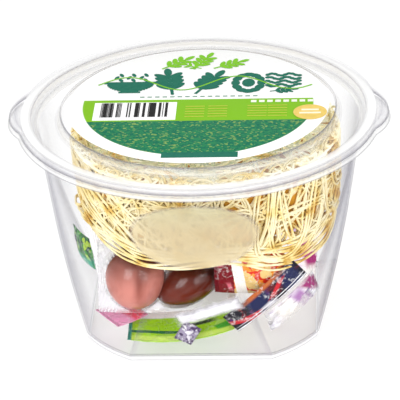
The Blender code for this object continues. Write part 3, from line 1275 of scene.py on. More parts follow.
@dataclass
class Lid:
    """The clear lid: raised disc, low ring, top ring, skirt and two tabs."""

    plan: ShellPlan = ShellPlan()
    wall: float = 0.0006
    corner: float = 0.0005
    line: Line = field(default_factory=lambda: [
        (0.0532, 0.0896), (0.0545, 0.0893), (0.0556, 0.0863), (0.0566, 0.0860),
        (0.0641, 0.0860), (0.0652, 0.0865), (0.0663, 0.0882), (0.0669, 0.0884),
        (0.0704, 0.0884), (0.0709, 0.0881), (0.0713, 0.0862)])
    # Strength of the painted dark line on each ring of the lid's profile.
    lines: dict[int, float] = field(default_factory=lambda: {
        2: 1.0, 3: 0.6, 5: 0.45, 8: 0.25, 11: 0.35, 17: 0.50, 20: 0.25, 23: 0.45, 28: 0.9})

    def build(self) -> bpy.types.Object:
        """Model and dress the lid.

        Returns:
            The piece.
        """
        side = softened(sheet_side(self.line, self.wall / 2), self.corner)
        marks = {"line": lambda level, _: self.lines.get(level, 0.0),
                 **dict.fromkeys(("facet", "calm"), lambda *_: 0.0)}
        piece = drawn_up("lid_clear", [self.plan.rim(*point) for point in side], marks, rise=True)
        applied(piece, "SOLIDIFY", thickness=self.wall, offset=-1, use_even_offset=True)
        smoothed(piece, 30)
        finish = ClearShell(
            tint="B6B4C0", reflection_cover=0.42, reflection_power=6.0, line_cover=0.65, outline=0.5,
            outline_range=(0.88, 0.97),
            bands=(
                Band(0.0548, 0.0562, "F8F6F0", 0.30, 0.0004),
                Band(0.0566, 0.0642, "FFFFFF", 0.08, 0.0006),
                # Painted highlight: the white band on the top ring.
                Band(0.0664, 0.0704, "FFFFFF", 0.50, 0.0004),
                Band(0.0709, 0.0760, "DAD8E2", 0.10, 0.0003),
            ))
        return dressed(piece, finish.material("clear_lid"), "clear_lid", "lid")


def oval(x: float, y: float, half_x: float, half_y: float, turn: float = 0.0) -> Stamp:
    """A printed oval."""
    return Stamp(x, y, half_x, half_y, turn, Stencil.ELLIPSE)


def sprig(x: float, y: float, size: float, turn: float, pairs: int = 3) -> tuple[Stamp, ...]:
    """A stalk with leaves on both sides and one at its tip.

    Args:
        x: The place of its foot.
        y: The same across.
        size: Its length.
        turn: Its direction in degrees from +X.
        pairs: The number of pairs of leaves.

    Returns:
        Its shapes.
    """
    run = toward(math.radians(turn))
    middle = Vector((x, y)) + run * size / 2
    made = [Stamp(middle.x, middle.y, size / 2, 0.030 * size, turn)]
    tip = Vector((x, y)) + run * size
    made.append(oval(tip.x, tip.y, 0.17 * size, 0.075 * size, turn))
    for pair in range(pairs):
        foot = Vector((x, y)) + run * size * (0.25 + 0.62 * pair / pairs)
        for lean in (turn - 48, turn + 48):
            leaf = foot + toward(math.radians(lean)) * 0.17 * size
            made.append(oval(leaf.x, leaf.y, 0.18 * size, 0.076 * size, lean))
    return tuple(made)


@dataclass
class Label:
    """The round label on the lid, with its ornaments as thin layers of ink."""

    radius: float = 0.0519
    bottom: float = 0.0902
    paper: float = 0.00008
    sides: int = 160
    ink_step: float = 0.00002
    ink_depth: float = 0.00003
    overlap_step: float = 0.0000005
    overlap_levels: int = 36
    bar_pitch: float = 0.00052
    edge_round: float = 0.00003
    oval_sides: tuple[int, int] = (16, 48)
    large_oval: float = 0.004
    seed: int = 7

    def bowl(self, x: float, y: float) -> tuple[Stamp, ...]:
        """A plain bowl with three wisps over it."""
        body = tuple(Stamp(x, y - 0.0008 * i, 0.0094 - 0.00009 * i * i, 0.0005) for i in range(9))
        wisps = tuple(
            oval(x + dx + 0.0009 * (-1) ** i, y + 0.0040 + 0.0024 * i, 0.0008, 0.0017, 22 * (-1) ** i)
            for dx in (-0.0050, 0.0, 0.0050) for i in range(3))
        rim = Stamp(x, y + 0.0014, 0.0106, 0.0009)
        foot = Stamp(x, y - 0.0074, 0.0044, 0.0007)
        return body + (rim, foot) + wisps

    def waves(self, x: float, y: float, rows: int) -> tuple[Stamp, ...]:
        """Rows of a wavy line."""
        return tuple(
            oval(x + 0.0014 * i, y - 0.0034 * row + 0.0010 * math.sin(1.25 * i + row), 0.00120, 0.00100,
                 math.degrees(math.atan(0.9 * math.cos(1.25 * i + row))))
            for row in range(rows) for i in range(10))

    def swirl(self) -> tuple[Stamp, ...]:
        """A thin flowing line from side to side."""
        return tuple(
            Stamp(-0.0400 + 0.00175 * i, 0.0190 + 0.0062 * math.sin(0.25 * i), 0.0012, 0.00038,
                  math.degrees(math.atan(0.0062 * 0.25 / 0.00175 * math.cos(0.25 * i))))
            for i in range(49))

    def bars(self) -> tuple[Stamp, ...]:
        """Upright bars of random widths on the panel."""
        rng = random.Random(self.seed)
        return tuple(
            Stamp(-0.0380 + self.bar_pitch * i, -0.0052,
                  self.bar_pitch * rng.choice((0.3, 0.5, 0.5)), 0.0064)
            for i in range(55) if rng.random() < 0.52)

    def inks(self) -> dict[str, tuple[str, tuple[Stamp, ...]]]:
        """The ornaments, from the lowest ink to the highest.

        Returns:
            For each name, a colour and its shapes.
        """
        ring = tuple(
            oval(0.0195 + 0.0052 * math.cos(a), 0.0188 + 0.0078 * math.sin(a), 0.0025, 0.0018,
                 math.degrees(a) + 90)
            for a in (math.tau * i / 12 for i in range(12)))
        title = (
            self.bowl(-0.0280, 0.0186) + sprig(-0.0105, 0.0085, 0.0215, 98, 4)
            + sprig(-0.0015, 0.0090, 0.0210, 64, 4)
            + ring + (oval(0.0195, 0.0188, 0.0026, 0.0038),)
            + self.waves(0.0272, 0.0262, 4) + sprig(0.0282, 0.0105, 0.0100, 10, 3))
        sprigs = (
            sprig(-0.0160, 0.0330, 0.0150, 44) + sprig(-0.0030, 0.0325, 0.0150, 66)
            + sprig(0.0050, 0.0330, 0.0140, 30) + sprig(0.0000, 0.0330, 0.0090, 150, 2))
        dashes = tuple(Stamp(-0.0225 + 0.0030 * i, 0.0066, 0.0009, 0.0005) for i in range(16))
        captions = tuple(Stamp(0.0220 + 0.0032 * i, 0.0016, 0.0011, 0.0010) for i in range(8))
        table = tuple(
            Stamp(x, y, 0.0038, 0.00030) for x in (-0.0010, 0.0080, 0.0235, 0.0315)
            for y in (-0.0025, -0.0048, -0.0071, -0.0094, -0.0117))
        coin_lines = (Stamp(0.0443, -0.0070, 0.0034, 0.0007), Stamp(0.0443, -0.0098, 0.0042, 0.0007))
        return {
            "tab": ("0E6E58", (Stamp(0.0025, -0.0451, 0.0146, 0.0023),)),
            "panel": ("FFFFFF", (Stamp(-0.0246, -0.0063, 0.0163, 0.0080),)),
            "dashes": ("7FA08C", dashes),
            "captions": ("F4F9E8", captions),
            "table": ("C3CB46", table),
            "bars": ("161616", self.bars()),
            "title": ("0B6B55", title),
            "swirl": ("7DC31F", self.swirl() + sprigs),
            "coin": ("EBCB6C", (oval(0.0443, -0.0090, 0.0066, 0.0067),)),
            "coin_lines": ("FBF3D6", coin_lines),
        }

    def layer(self, name: str, stamps: Sequence[Stamp], floor: float) -> bpy.types.Object:
        """Model one ink as thin plates in one mesh.

        Args:
            name: The piece's name.
            stamps: Its shapes.
            floor: The height of the plates' underside.

        Returns:
            The piece.
        """
        deselected()
        bpy.ops.mesh.primitive_plane_add(size=0.001)
        piece = taken(name)
        bpy.ops.object.mode_set(mode="EDIT")
        bpy.ops.mesh.select_all(action="SELECT")
        bpy.ops.mesh.delete(type="VERT")
        for index, stamp in enumerate(stamps):
            raised = self.overlap_step * (index % self.overlap_levels)
            place = {"location": (stamp.x, stamp.y, floor + self.ink_depth / 2 + raised),
                     "rotation": (0, 0, math.radians(stamp.turn))}
            if stamp.shape is Stencil.BOX:
                bpy.ops.mesh.primitive_cube_add(
                    size=2, scale=(stamp.half_x, stamp.half_y, self.ink_depth / 2), **place)
            else:
                bpy.ops.mesh.primitive_cylinder_add(
                    vertices=self.oval_sides[stamp.half_x > self.large_oval], radius=1,
                    depth=self.ink_depth, scale=(stamp.half_x, stamp.half_y, 1), **place)
        bpy.ops.object.mode_set(mode="OBJECT")
        return piece

    def build(self) -> list[bpy.types.Object]:
        """Model and dress the label.

        Returns:
            The pieces.
        """
        deselected()
        bpy.ops.mesh.primitive_cylinder_add(
            vertices=self.sides, radius=self.radius, depth=self.paper,
            location=(0, 0, self.bottom + self.paper / 2))
        piece = taken("label_round")
        applied(piece, "BEVEL", width=self.edge_round, segments=2, limit_method="ANGLE")
        smoothed(piece, 30)
        made = [dressed(piece, LabelPrint().material("label_print"), "label_print", "label")]
        floor = self.bottom + self.paper - self.ink_step / 2
        for index, (name, (colour, stamps)) in enumerate(self.inks().items()):
            plates = self.layer("label_" + name, stamps, floor + self.ink_step * index)
            ink = PlainInk(colour).material("ink_" + name)
            made.append(dressed(plates, ink, "label_print", "label"))
        return made


@dataclass
class Strand:
    """One noodle's way over a flat sheet: it bends slowly at random and turns back at the edges."""

    rng: random.Random
    step: float = 0.0016
    wobble: float = 52.0
    hold: float = 0.88
    steer: float = 30.0
    edge_turn: float = 210.0
    turned_back: float = 0.55

    def walk(self, start: Vector, heading: float, steps: int,
             lean: Callable[[Vector], tuple[float, float]],
             inward: Callable[[Vector], Vector]) -> list[Vector]:
        """Walk the strand.

        Args:
            start: Where it starts on the sheet.
            heading: Its first direction in radians.
            steps: How many steps it takes.
            lean: Gives the direction that strands prefer at a place, and how strongly.
            inward: Gives the way back into the sheet near its edge, or a zero vector.

        Returns:
            The points on the sheet.
        """
        here = start.copy()
        bend = 0.0
        way = [here.copy()]
        for _ in range(steps):
            target, weight = lean(here)
            goal = weight * self.steer * math.sin(2 * (target - heading))
            back = inward(here)
            if back.length > 0:
                run = toward(heading)
                if run.dot(back) < self.turned_back:
                    side = run.x * back.y - run.y * back.x
                    goal = self.edge_turn * (1 if side >= 0 else -1)
                    bend = 0.5 * bend + 0.5 * goal
            bend = self.hold * bend + (1 - self.hold) * goal + self.rng.gauss(0, self.wobble)
            bend = max(-self.edge_turn, min(self.edge_turn, bend))
            heading += bend * self.step
            here = here + self.step * toward(heading)
            way.append(here.copy())
        return way


@dataclass(frozen=True)
class Skein:
    """Strands that run side by side over the cake's side, by angle from the front and height."""

    points: tuple[tuple[float, float], ...]
    count: int = 3
    spacing: float = 0.0012
    depth: float = 0.0
    hangs: bool = False
    samples: int = 14
    sway: float = 0.0006
    sway_run: float = 0.13

    def ways(self, rng: random.Random, radius: float) -> list[list[Vector]]:
        """The strands on the unrolled side.

        Args:
            rng: The random numbers.
            radius: The cake's radius.

        Returns:
            A line of places along the side and heights for each strand.
        """
        knots = [Vector((radius * math.radians(angle - 90), height / 1000))
                 for angle, height in self.points]
        knots = [2 * knots[0] - knots[1], *knots, 2 * knots[-1] - knots[-2]]
        middle = []
        for a, b, c, d in zip(knots, knots[1:], knots[2:], knots[3:]):
            for i in range(self.samples):
                t = i / self.samples
                middle.append(0.5 * (2 * b + (c - a) * t + (2 * a - 5 * b + 4 * c - d) * t * t
                                     + (3 * b - a - 3 * c + d) * t ** 3))
        made = []
        for index in range(self.count):
            shift = (index - (self.count - 1) / 2) * self.spacing
            phase = rng.uniform(0, 6)
            way = []
            for i, (here, ahead) in enumerate(zip(middle, middle[1:])):
                run = (ahead - here).normalized()
                sway = self.sway * math.sin(self.sway_run * i + phase)
                way.append(here + Vector((-run.y, run.x)) * (shift + sway))
            made.append(way)
        return made


@dataclass(frozen=True)
class Lean:
    """A direction that strands prefer round one angle of the cake's side, in degrees."""

    at: float
    reach: float
    full: float
    direction: float
    weight: float

    def share(self, angle: float) -> float:
        """How far it holds at an angle in radians."""
        away = abs(angle - math.radians(self.at))
        return smooth(away, math.radians(self.reach), math.radians(self.full))


@dataclass
class NoodleCake:
    """The noodle cake: loose strands in layers over a dark core, whose colour is painted shade."""

    centre_x: float = 0.0025
    radius: float = 0.0542
    taper: float = 0.0012
    bottom: float = 0.0480
    top: float = 0.0818
    lift: float = 0.0030
    lift_angle: float = math.radians(207)
    strand_radius: float = 0.00047
    layer: float = 0.0009
    corner_round: float = 0.0016
    corner_top: float = 0.0045
    corner_base: float = 0.0035
    side_sink: float = 0.0007
    flat_sink: float = 0.0004
    low_margin: float = 0.0042
    high_margin: float = 0.0040
    round_margin: float = 0.0050
    weave_height: float = 0.00045
    leans: tuple[Lean, ...] = (Lean(-135, 40, 15, -38, 0.4), Lean(-52, 34, 14, 68, 0.25))
    side_layers: tuple[int, ...] = (36, 46, 48)
    top_layers: tuple[int, ...] = (44, 44)
    base_layers: tuple[int, ...] = (26, 16)
    steps: int = 110
    seed: int = 5
    skeins: tuple[Skein, ...] = (
        Skein(((27, 79), (24, 72), (22, 62), (22, 53), (15, 50.0)), 2),
        Skein(((32, 79), (30, 71), (28, 59), (25, 51), (19, 49.2)), 3),
        Skein(((35, 79), (32, 69), (31, 56), (28, 49.6)), 2, 0.0014),
        Skein(((35, 78), (37, 63), (41, 51.5), (46, 50.0), (51, 54), (55, 66), (57, 78)), 2, 0.0016),
        Skein(((60, 79), (63, 66), (66, 54), (74, 50.5), (84, 56)), 2, 0.0015),
        Skein(((34, 62), (48, 62.5), (66, 60)), 3, 0.0016, 0.0004),
        Skein(((-4, 51), (9, 50.2), (24, 49.4), (38, 49.2), (53, 49.6), (70, 50.5), (88, 52)),
              3, 0.0010),
        Skein(((-88, 70), (-70, 66), (-55, 60), (-40, 54), (-24, 50.2), (-8, 49.6)), 3, 0.0013),
        Skein(((-88, 77), (-68, 72), (-50, 66), (-36, 58), (-26, 51), (-14, 49.4)), 3, 0.0015),
        Skein(((-92, 62), (-74, 59), (-56, 55.5), (-40, 51.6), (-26, 49.6)), 2, 0.0014),
        Skein(((-26, 78), (-38, 66), (-52, 57), (-66, 53.5), (-84, 54)), 2, 0.0018, 0.0005),
        Skein(((-84, 79), (-60, 76), (-40, 70), (-24, 60), (-14, 52)), 2, 0.0017, 0.0003),
        Skein(((74, 79), (70, 70), (76, 62), (88, 60)), 2, 0.0015),
        Skein(((-2, 49.5), (9, 48.6), (20, 46.2), (30, 43.0), (40, 41.2), (50, 41.0), (60, 42.6),
               (69, 45.5), (77, 50)), 5, 0.00105, hangs=True),
        Skein(((2, 51), (14, 50.2), (26, 48.0), (38, 46.0), (50, 45.6), (61, 47.4), (70, 51)),
              5, 0.0011, 0.0006, hangs=True),
        Skein(((23, 62), (23.5, 53), (26, 47), (33, 43.6), (41, 45), (47, 51), (51, 60)),
              2, 0.0014, -0.0002, hangs=True),
        Skein(((29, 62), (30, 52), (34, 45.6), (41, 42.8), (50, 44.5), (57, 51), (62, 62)),
              2, 0.0013, 0.0002, hangs=True),
        Skein(((-64, 55), (-52, 50.6), (-42, 48.4), (-33, 46.4), (-25, 45.2), (-14, 46.4), (0, 48.4),
               (12, 49)), 5, 0.00105, hangs=True),
        Skein(((-58, 60), (-46, 54), (-36, 50.8), (-25, 48.6), (-12, 49.6)),
              3, 0.0012, 0.0005, hangs=True),
    )

    def floor(self, angle: float) -> float:
        """Height of the lower edge at an angle."""
        return self.bottom + self.lift * max(0.0, math.cos(angle - self.lift_angle)) ** 6

    def side_point(self, flat: Vector, depth: float) -> Vector:
        """Put a point of the unrolled side on the cake.

        Args:
            flat: The place along the side and its height.
            depth: How deep under the skin it is.

        Returns:
            The point.
        """
        angle = flat.x / self.radius
        floor = self.floor(angle)
        z = max(flat.y, floor + 0.0002)
        share = (z - floor) / (self.top - floor)
        wave = 0.0005 * math.sin(3 * angle + 1) + 0.0004 * math.sin(7 * angle + 5 * share)
        reach = self.radius - self.taper * (1 - share) + wave - self.strand_radius - depth
        corner = smooth(z, self.top - self.corner_top, self.top)
        corner += smooth(z, floor + self.corner_base, floor)
        return polar(reach - self.corner_round * corner, angle, z, self.centre_x)

    def hung_point(self, flat: Vector, depth: float) -> Vector:
        """Put a point of a strand that hangs past the lower edge on the cake's skin, drawn down."""
        angle = flat.x / self.radius
        reach = self.radius - self.taper - self.strand_radius + 0.0002 - depth
        return polar(reach, angle, flat.y, self.centre_x)

    def side_lean(self, flat: Vector) -> tuple[float, float]:
        """The direction that side strands prefer: skeins at the front right, slants at the left."""
        angle = (flat.x / self.radius + math.pi) % (2 * math.pi) - math.pi
        lean = max(self.leans, key=lambda one: one.share(angle))
        return math.radians(lean.direction), lean.weight * lean.share(angle)

    def side_inward(self, flat: Vector) -> Vector:
        """The way back from the upper or lower edge of the side."""
        if flat.y < self.floor(flat.x / self.radius) + self.low_margin:
            return Vector((0, 1))
        if flat.y > self.top - self.high_margin:
            return Vector((0, -1))
        return Vector((0, 0))

    def round_inward(self, flat: Vector) -> Vector:
        """The way back from the edge of the top or the base."""
        if flat.length > self.radius - self.round_margin:
            return -flat.normalized()
        return Vector((0, 0))

    def weave(self, flat: Vector, phase: float) -> float:
        """How much a strand dips or rises, so that strands pass over each other."""
        return self.weave_height * math.sin(260 * flat.x + phase) * math.cos(230 * flat.y + 2 * phase)

    def side_strands(self, rng: random.Random) -> list[list[Vector]]:
        """All strands of the side."""
        walker = Strand(rng)
        ways = [[(self.hung_point if skein.hangs else self.side_point)(p, skein.depth) for p in way]
                for skein in self.skeins for way in skein.ways(rng, self.radius)]
        for layer, count in enumerate(self.side_layers):
            for i in range(count):
                start = Vector((2 * math.pi * self.radius * (i + rng.random()) / count,
                                rng.uniform(self.bottom + 0.006, self.top - 0.005)))
                phase = rng.uniform(0, 6)
                flat = walker.walk(start, rng.uniform(0, 2 * math.pi), self.steps, self.side_lean,
                                   self.side_inward)
                sink = self.layer * layer + self.side_sink
                ways.append([self.side_point(p, sink + self.weave(p, phase)) for p in flat])
        return ways

    def flat_strands(self, rng: random.Random, layers: Sequence[int],
                     under: bool) -> list[list[Vector]]:
        """All strands of the top or the base.

        Args:
            rng: The random numbers.
            layers: The number of strands in each layer.
            under: Whether this is the base.

        Returns:
            The strands.
        """
        walker = Strand(rng)
        limit = self.radius - self.strand_radius - 0.0006
        ways = []
        for layer, count in enumerate(layers):
            for _ in range(count):
                turn = rng.uniform(0, 2 * math.pi)
                reach = (self.radius - 0.008) * math.sqrt(rng.random())
                phase = rng.uniform(0, 6)
                flat = walker.walk(
                    Vector((reach * math.cos(turn), reach * math.sin(turn))),
                    rng.uniform(0, 2 * math.pi), self.steps, lambda _: (0.0, 0.0), self.round_inward)
                way = []
                for p in flat:
                    if p.length > limit:
                        p = p * (limit / p.length)
                    depth = self.layer * layer + self.flat_sink + self.weave(p, phase)
                    edge = 0.0010 * smooth(p.length, self.radius - 0.004, self.radius)
                    if under:
                        z = self.floor(math.atan2(p.y, p.x)) - 0.0001 + depth + edge
                    else:
                        z = self.top - self.strand_radius - depth - edge
                    way.append(Vector((self.centre_x + p.x, p.y, z)))
                ways.append(way)
        return ways

    def swept(self, name: str, ways: list[list[Vector]]) -> bpy.types.Object:
        """Sweep a round profile along every way and make one mesh of them.

        Args:
            name: The piece's name.
            ways: The strands' centre lines.

        Returns:
            The piece.
        """
        curve = bpy.data.curves.new(name, "CURVE")
        curve.dimensions = "3D"
        curve.bevel_depth = self.strand_radius
        curve.bevel_resolution = 1
        curve.use_fill_caps = True
        for way in ways:
            spline = curve.splines.new("POLY")
            spline.points.add(len(way) - 1)
            spline.points.foreach_set("co", [c for p in way for c in (*p, 1.0)])
            spline.use_smooth = True
        made = bpy.data.objects.new(name, curve)
        bpy.context.scene.collection.objects.link(made)
        activated(made)
        bpy.ops.object.convert(target="MESH")
        piece = taken(name)
        smoothed(piece, 60)
        return piece

    def core(self) -> bpy.types.Object:
        """The dark core that shows in the gaps between strands, as painted shade.

        Returns:
            The piece.
        """
        inset = self.layer * len(self.side_layers) - 0.0002
        low = self.bottom + self.layer * len(self.base_layers) + self.lift
        high = self.top - self.layer * len(self.top_layers) - self.strand_radius - 0.0002
        deselected()
        bpy.ops.mesh.primitive_cylinder_add(
            vertices=72, radius=self.radius - self.taper - inset, depth=high - low,
            location=(self.centre_x, 0, (low + high) / 2))
        piece = taken("noodle_core")
        applied(piece, "BEVEL", width=0.002, segments=3, limit_method="ANGLE")
        smoothed(piece, 40)
        return piece

    def build(self) -> list[bpy.types.Object]:
        """Model and dress the cake.

        Returns:
            Its pieces.
        """
        rng = random.Random(self.seed)
        strands = DryNoodle().material("noodle_strands")
        # Painted light: the top strands, which lie in the label's shade, get a paler copy of the finish
        # that glows.
        pale = DryNoodle("FFFCEA", "FBF0C4", "EBC873", deep_start=0.60, painted_glow=0.18)
        # Painted shade: a darker copy of the finish for the core, which fills the gaps between strands.
        dark = DryNoodle("DCA436", "BE8020", "6A3C12", deep_start=0.58)
        painted_light_top, shade = pale.material("noodle_top_painted_light"), dark.material("noodle_shade")
        pieces = (
            self.core(),
            self.swept("noodles_side", self.side_strands(rng)),
            self.swept("noodles_top", self.flat_strands(rng, self.top_layers, False)),
            self.swept("noodles_base", self.flat_strands(rng, self.base_layers, True)))
        return [dressed(piece, finish, "noodles", "noodle_cake")
                for piece, finish in zip(pieces, (shade, strands, painted_light_top, strands))]


@dataclass
class Pillow:
    """A sealed bag: two sheets that bulge inside a flat seal, then bent, twisted and placed."""

    length: float
    width: float
    half_fill: float
    centre: tuple[float, float, float]
    yaw: float = 0.0
    tilt: float = 0.0
    lean: float = 0.0
    roll: float = 0.0
    bend: float = 0.0
    twist: float = 0.0
    seal: float = 0.0007
    steps_u: int = 56
    steps_v: int = 36
    crease: float = 0.00025
    crease_scale: float = 150.0
    crease_stretch: tuple[float, float] = (0.55, 1.5)
    least_crease: float = 0.35
    teeth: float = 0.0003
    seed: float = 0.0

    def fill(self, x: float, y: float) -> float:
        """Half the bag's thickness at a place, without its seal."""
        u = 2 * x / self.length
        v = 2 * y / self.width
        return self.half_fill * max(0.0, 1 - u ** 4) * max(0.0, 1 - v ** 2)

    def matrix(self) -> Matrix:
        """Where the bag is: upright, rolled in its plane, leaned, tilted and turned."""
        made = Matrix.Translation(self.centre)
        for angle, axis in ((self.yaw, "Z"), (self.tilt, "Y"), (90 + self.lean, "X"), (self.roll, "Z")):
            made = made @ Matrix.Rotation(math.radians(angle), 4, axis)
        return made

    def creased(self, x: float, y: float, side: int) -> float:
        """Height of the film's creases, which run across the bag and die out at the seals."""
        along, across = self.crease_stretch
        place = Vector((x * self.crease_scale * along, y * self.crease_scale * across, self.seed + side))
        ridge = 1 - 2 * abs(noise.noise(place))
        inner = min(1.0, self.fill(x, y) / (0.35 * self.half_fill + 1e-9))
        share = self.least_crease + (1 - self.least_crease) * inner
        return self.crease * share * ridge ** 3 if ridge > 0 else 0.0

    def model(self, name: str) -> bpy.types.Object:
        """Model the bag from a grid with thickness.

        Args:
            name: The piece's name.

        Returns:
            The bag in its place.
        """
        deselected()
        bpy.ops.mesh.primitive_grid_add(x_subdivisions=self.steps_u, y_subdivisions=self.steps_v,
                                        size=1.0, calc_uvs=True)
        piece = taken(name)
        applied(piece, "SOLIDIFY", thickness=0.1, offset=0)
        slack, back = [], []
        for vert in piece.data.vertices:
            column = round((vert.co.y + 0.5) * self.steps_v)
            x = vert.co.x * self.length
            y = vert.co.y * self.width
            side = 1 if vert.co.z > 0 else -1
            slack.append(1 - smooth(self.fill(x, y), 0.0, 0.55 * self.half_fill))
            back.append(1.0 if side < 0 else 0.0)
            share = 2 * vert.co.x
            if abs(share) > 0.99:
                x -= math.copysign(self.teeth * (column % 2), x)
            turn = math.radians(self.twist) * share
            height = side * (self.seal / 2 + self.fill(x, y) + self.creased(x, y, side) - self.crease)
            vert.co = Vector((
                x, y * math.cos(turn) - height * math.sin(turn),
                y * math.sin(turn) + height * math.cos(turn) + self.bend * share ** 2))
        marked(piece, "slack", slack)
        marked(piece, "back", back)
        piece.data.transform(self.matrix())
        smoothed(piece, 50)
        return piece


@dataclass(kw_only=True)
class Sachet(Pillow):
    """A seasoning sachet with its printed film."""

    node: str
    finish: PrintedFilm

    def build(self) -> bpy.types.Object:
        """Model and dress the sachet.

        Returns:
            The piece.
        """
        slot = self.node.replace("sachet", "film")
        piece = self.model(self.node + "_film")
        return dressed(piece, self.finish.material(slot), slot, self.node)


@dataclass(frozen=True)
class Egg:
    """One egg in the pouch: its place along and across it, its half sizes, turn and finish."""

    along: float
    across: float
    half_x: float
    half_y: float
    turn: float
    taper: float
    finish: BraisedEgg

    def sizes(self, depth: float, gap: float) -> tuple[float, float, float]:
        """Its half axes, with a gap to the film."""
        return self.half_x - gap, self.half_y - gap, depth - gap


@dataclass(kw_only=True)
class EggPouch(Pillow):
    """A clear sealed pouch drawn tight over two eggs."""

    eggs: tuple[Egg, ...]
    egg_depth: float = 0.0112
    gap: float = 0.0005

    def fill(self, x: float, y: float) -> float:
        """Half the pouch's thickness over its eggs: the larger of the eggs' depths at a place."""
        best = 0.0
        for egg in self.eggs:
            angle = math.radians(egg.turn)
            dx = (x - egg.along) * math.cos(angle) + (y - egg.across) * math.sin(angle)
            dy = (y - egg.across) * math.cos(angle) - (x - egg.along) * math.sin(angle)
            left = 1 - (dx / egg.half_x) ** 2 - (dy / egg.half_y) ** 2
            best = max(best, self.egg_depth * math.sqrt(max(0.0, left)))
        return best

    def egg(self, index: int, egg: Egg) -> bpy.types.Object:
        """Model one egg, narrower at its upper end.

        Args:
            index: Its number.
            egg: Its sizes and place.

        Returns:
            The egg in its place.
        """
        deselected()
        bpy.ops.mesh.primitive_uv_sphere_add(segments=64, ring_count=40, radius=1.0)
        bpy.ops.object.mode_set(mode="EDIT")
        bpy.ops.mesh.select_all(action="SELECT")
        bpy.ops.transform.resize(value=egg.sizes(self.egg_depth, self.gap))
        bpy.ops.object.mode_set(mode="OBJECT")
        piece = taken(f"egg_{index}")
        for vert in piece.data.vertices:
            share = vert.co.y / egg.half_y
            keep = 1 - abs(egg.taper) * max(0.0, math.copysign(share, share * egg.taper)) ** 2
            vert.co.x *= keep
            vert.co.z *= keep
        bow = self.bend * (2 * egg.along / self.length) ** 2
        slope = math.atan(8 * self.bend * egg.along / self.length ** 2)
        local = (Matrix.Translation((egg.along, egg.across, bow))
                 @ Matrix.Rotation(-slope, 4, "Y") @ Matrix.Rotation(math.radians(egg.turn), 4, "Z"))
        piece.data.transform(self.matrix() @ local)
        smoothed(piece, 80)
        return piece

    def build(self) -> list[bpy.types.Object]:
        """Model and dress the pouch and its eggs.

        Returns:
            The pieces.
        """
        film = self.model("egg_pouch_film")
        looks = [(film, ClearFilm().material("pouch_film"))]
        for index, egg in enumerate(self.eggs, 1):
            looks.append((self.egg(index, egg), egg.finish.material(f"egg_{index}")))
        return [dressed(piece, finish, "pouch", "egg_pouch") for piece, finish in looks]


def egg_pouch() -> EggPouch:
    """The pouch with its two eggs, placed as in the solids."""
    return EggPouch(
        0.0525, 0.0294, 0.0112, (-0.0132, -0.0338, 0.0314), yaw=14, lean=-14, roll=-4, bend=-0.0070,
        steps_u=72, steps_v=44, crease=0.0003,
        eggs=(
            Egg(-0.0122, 0.0004, 0.0122, 0.0140, turn=0, taper=0.10,
                finish=BraisedEgg("CA8074", "9A5044", "5A2C22", shade_low=0.029, shade_high=0.044)),
            Egg(0.0102, -0.0014, 0.0100, 0.0162, turn=-60, taper=-0.30,
                finish=BraisedEgg("6E2410", "441407", "1A0803", shade_low=0.024, shade_high=0.041)),
        ))


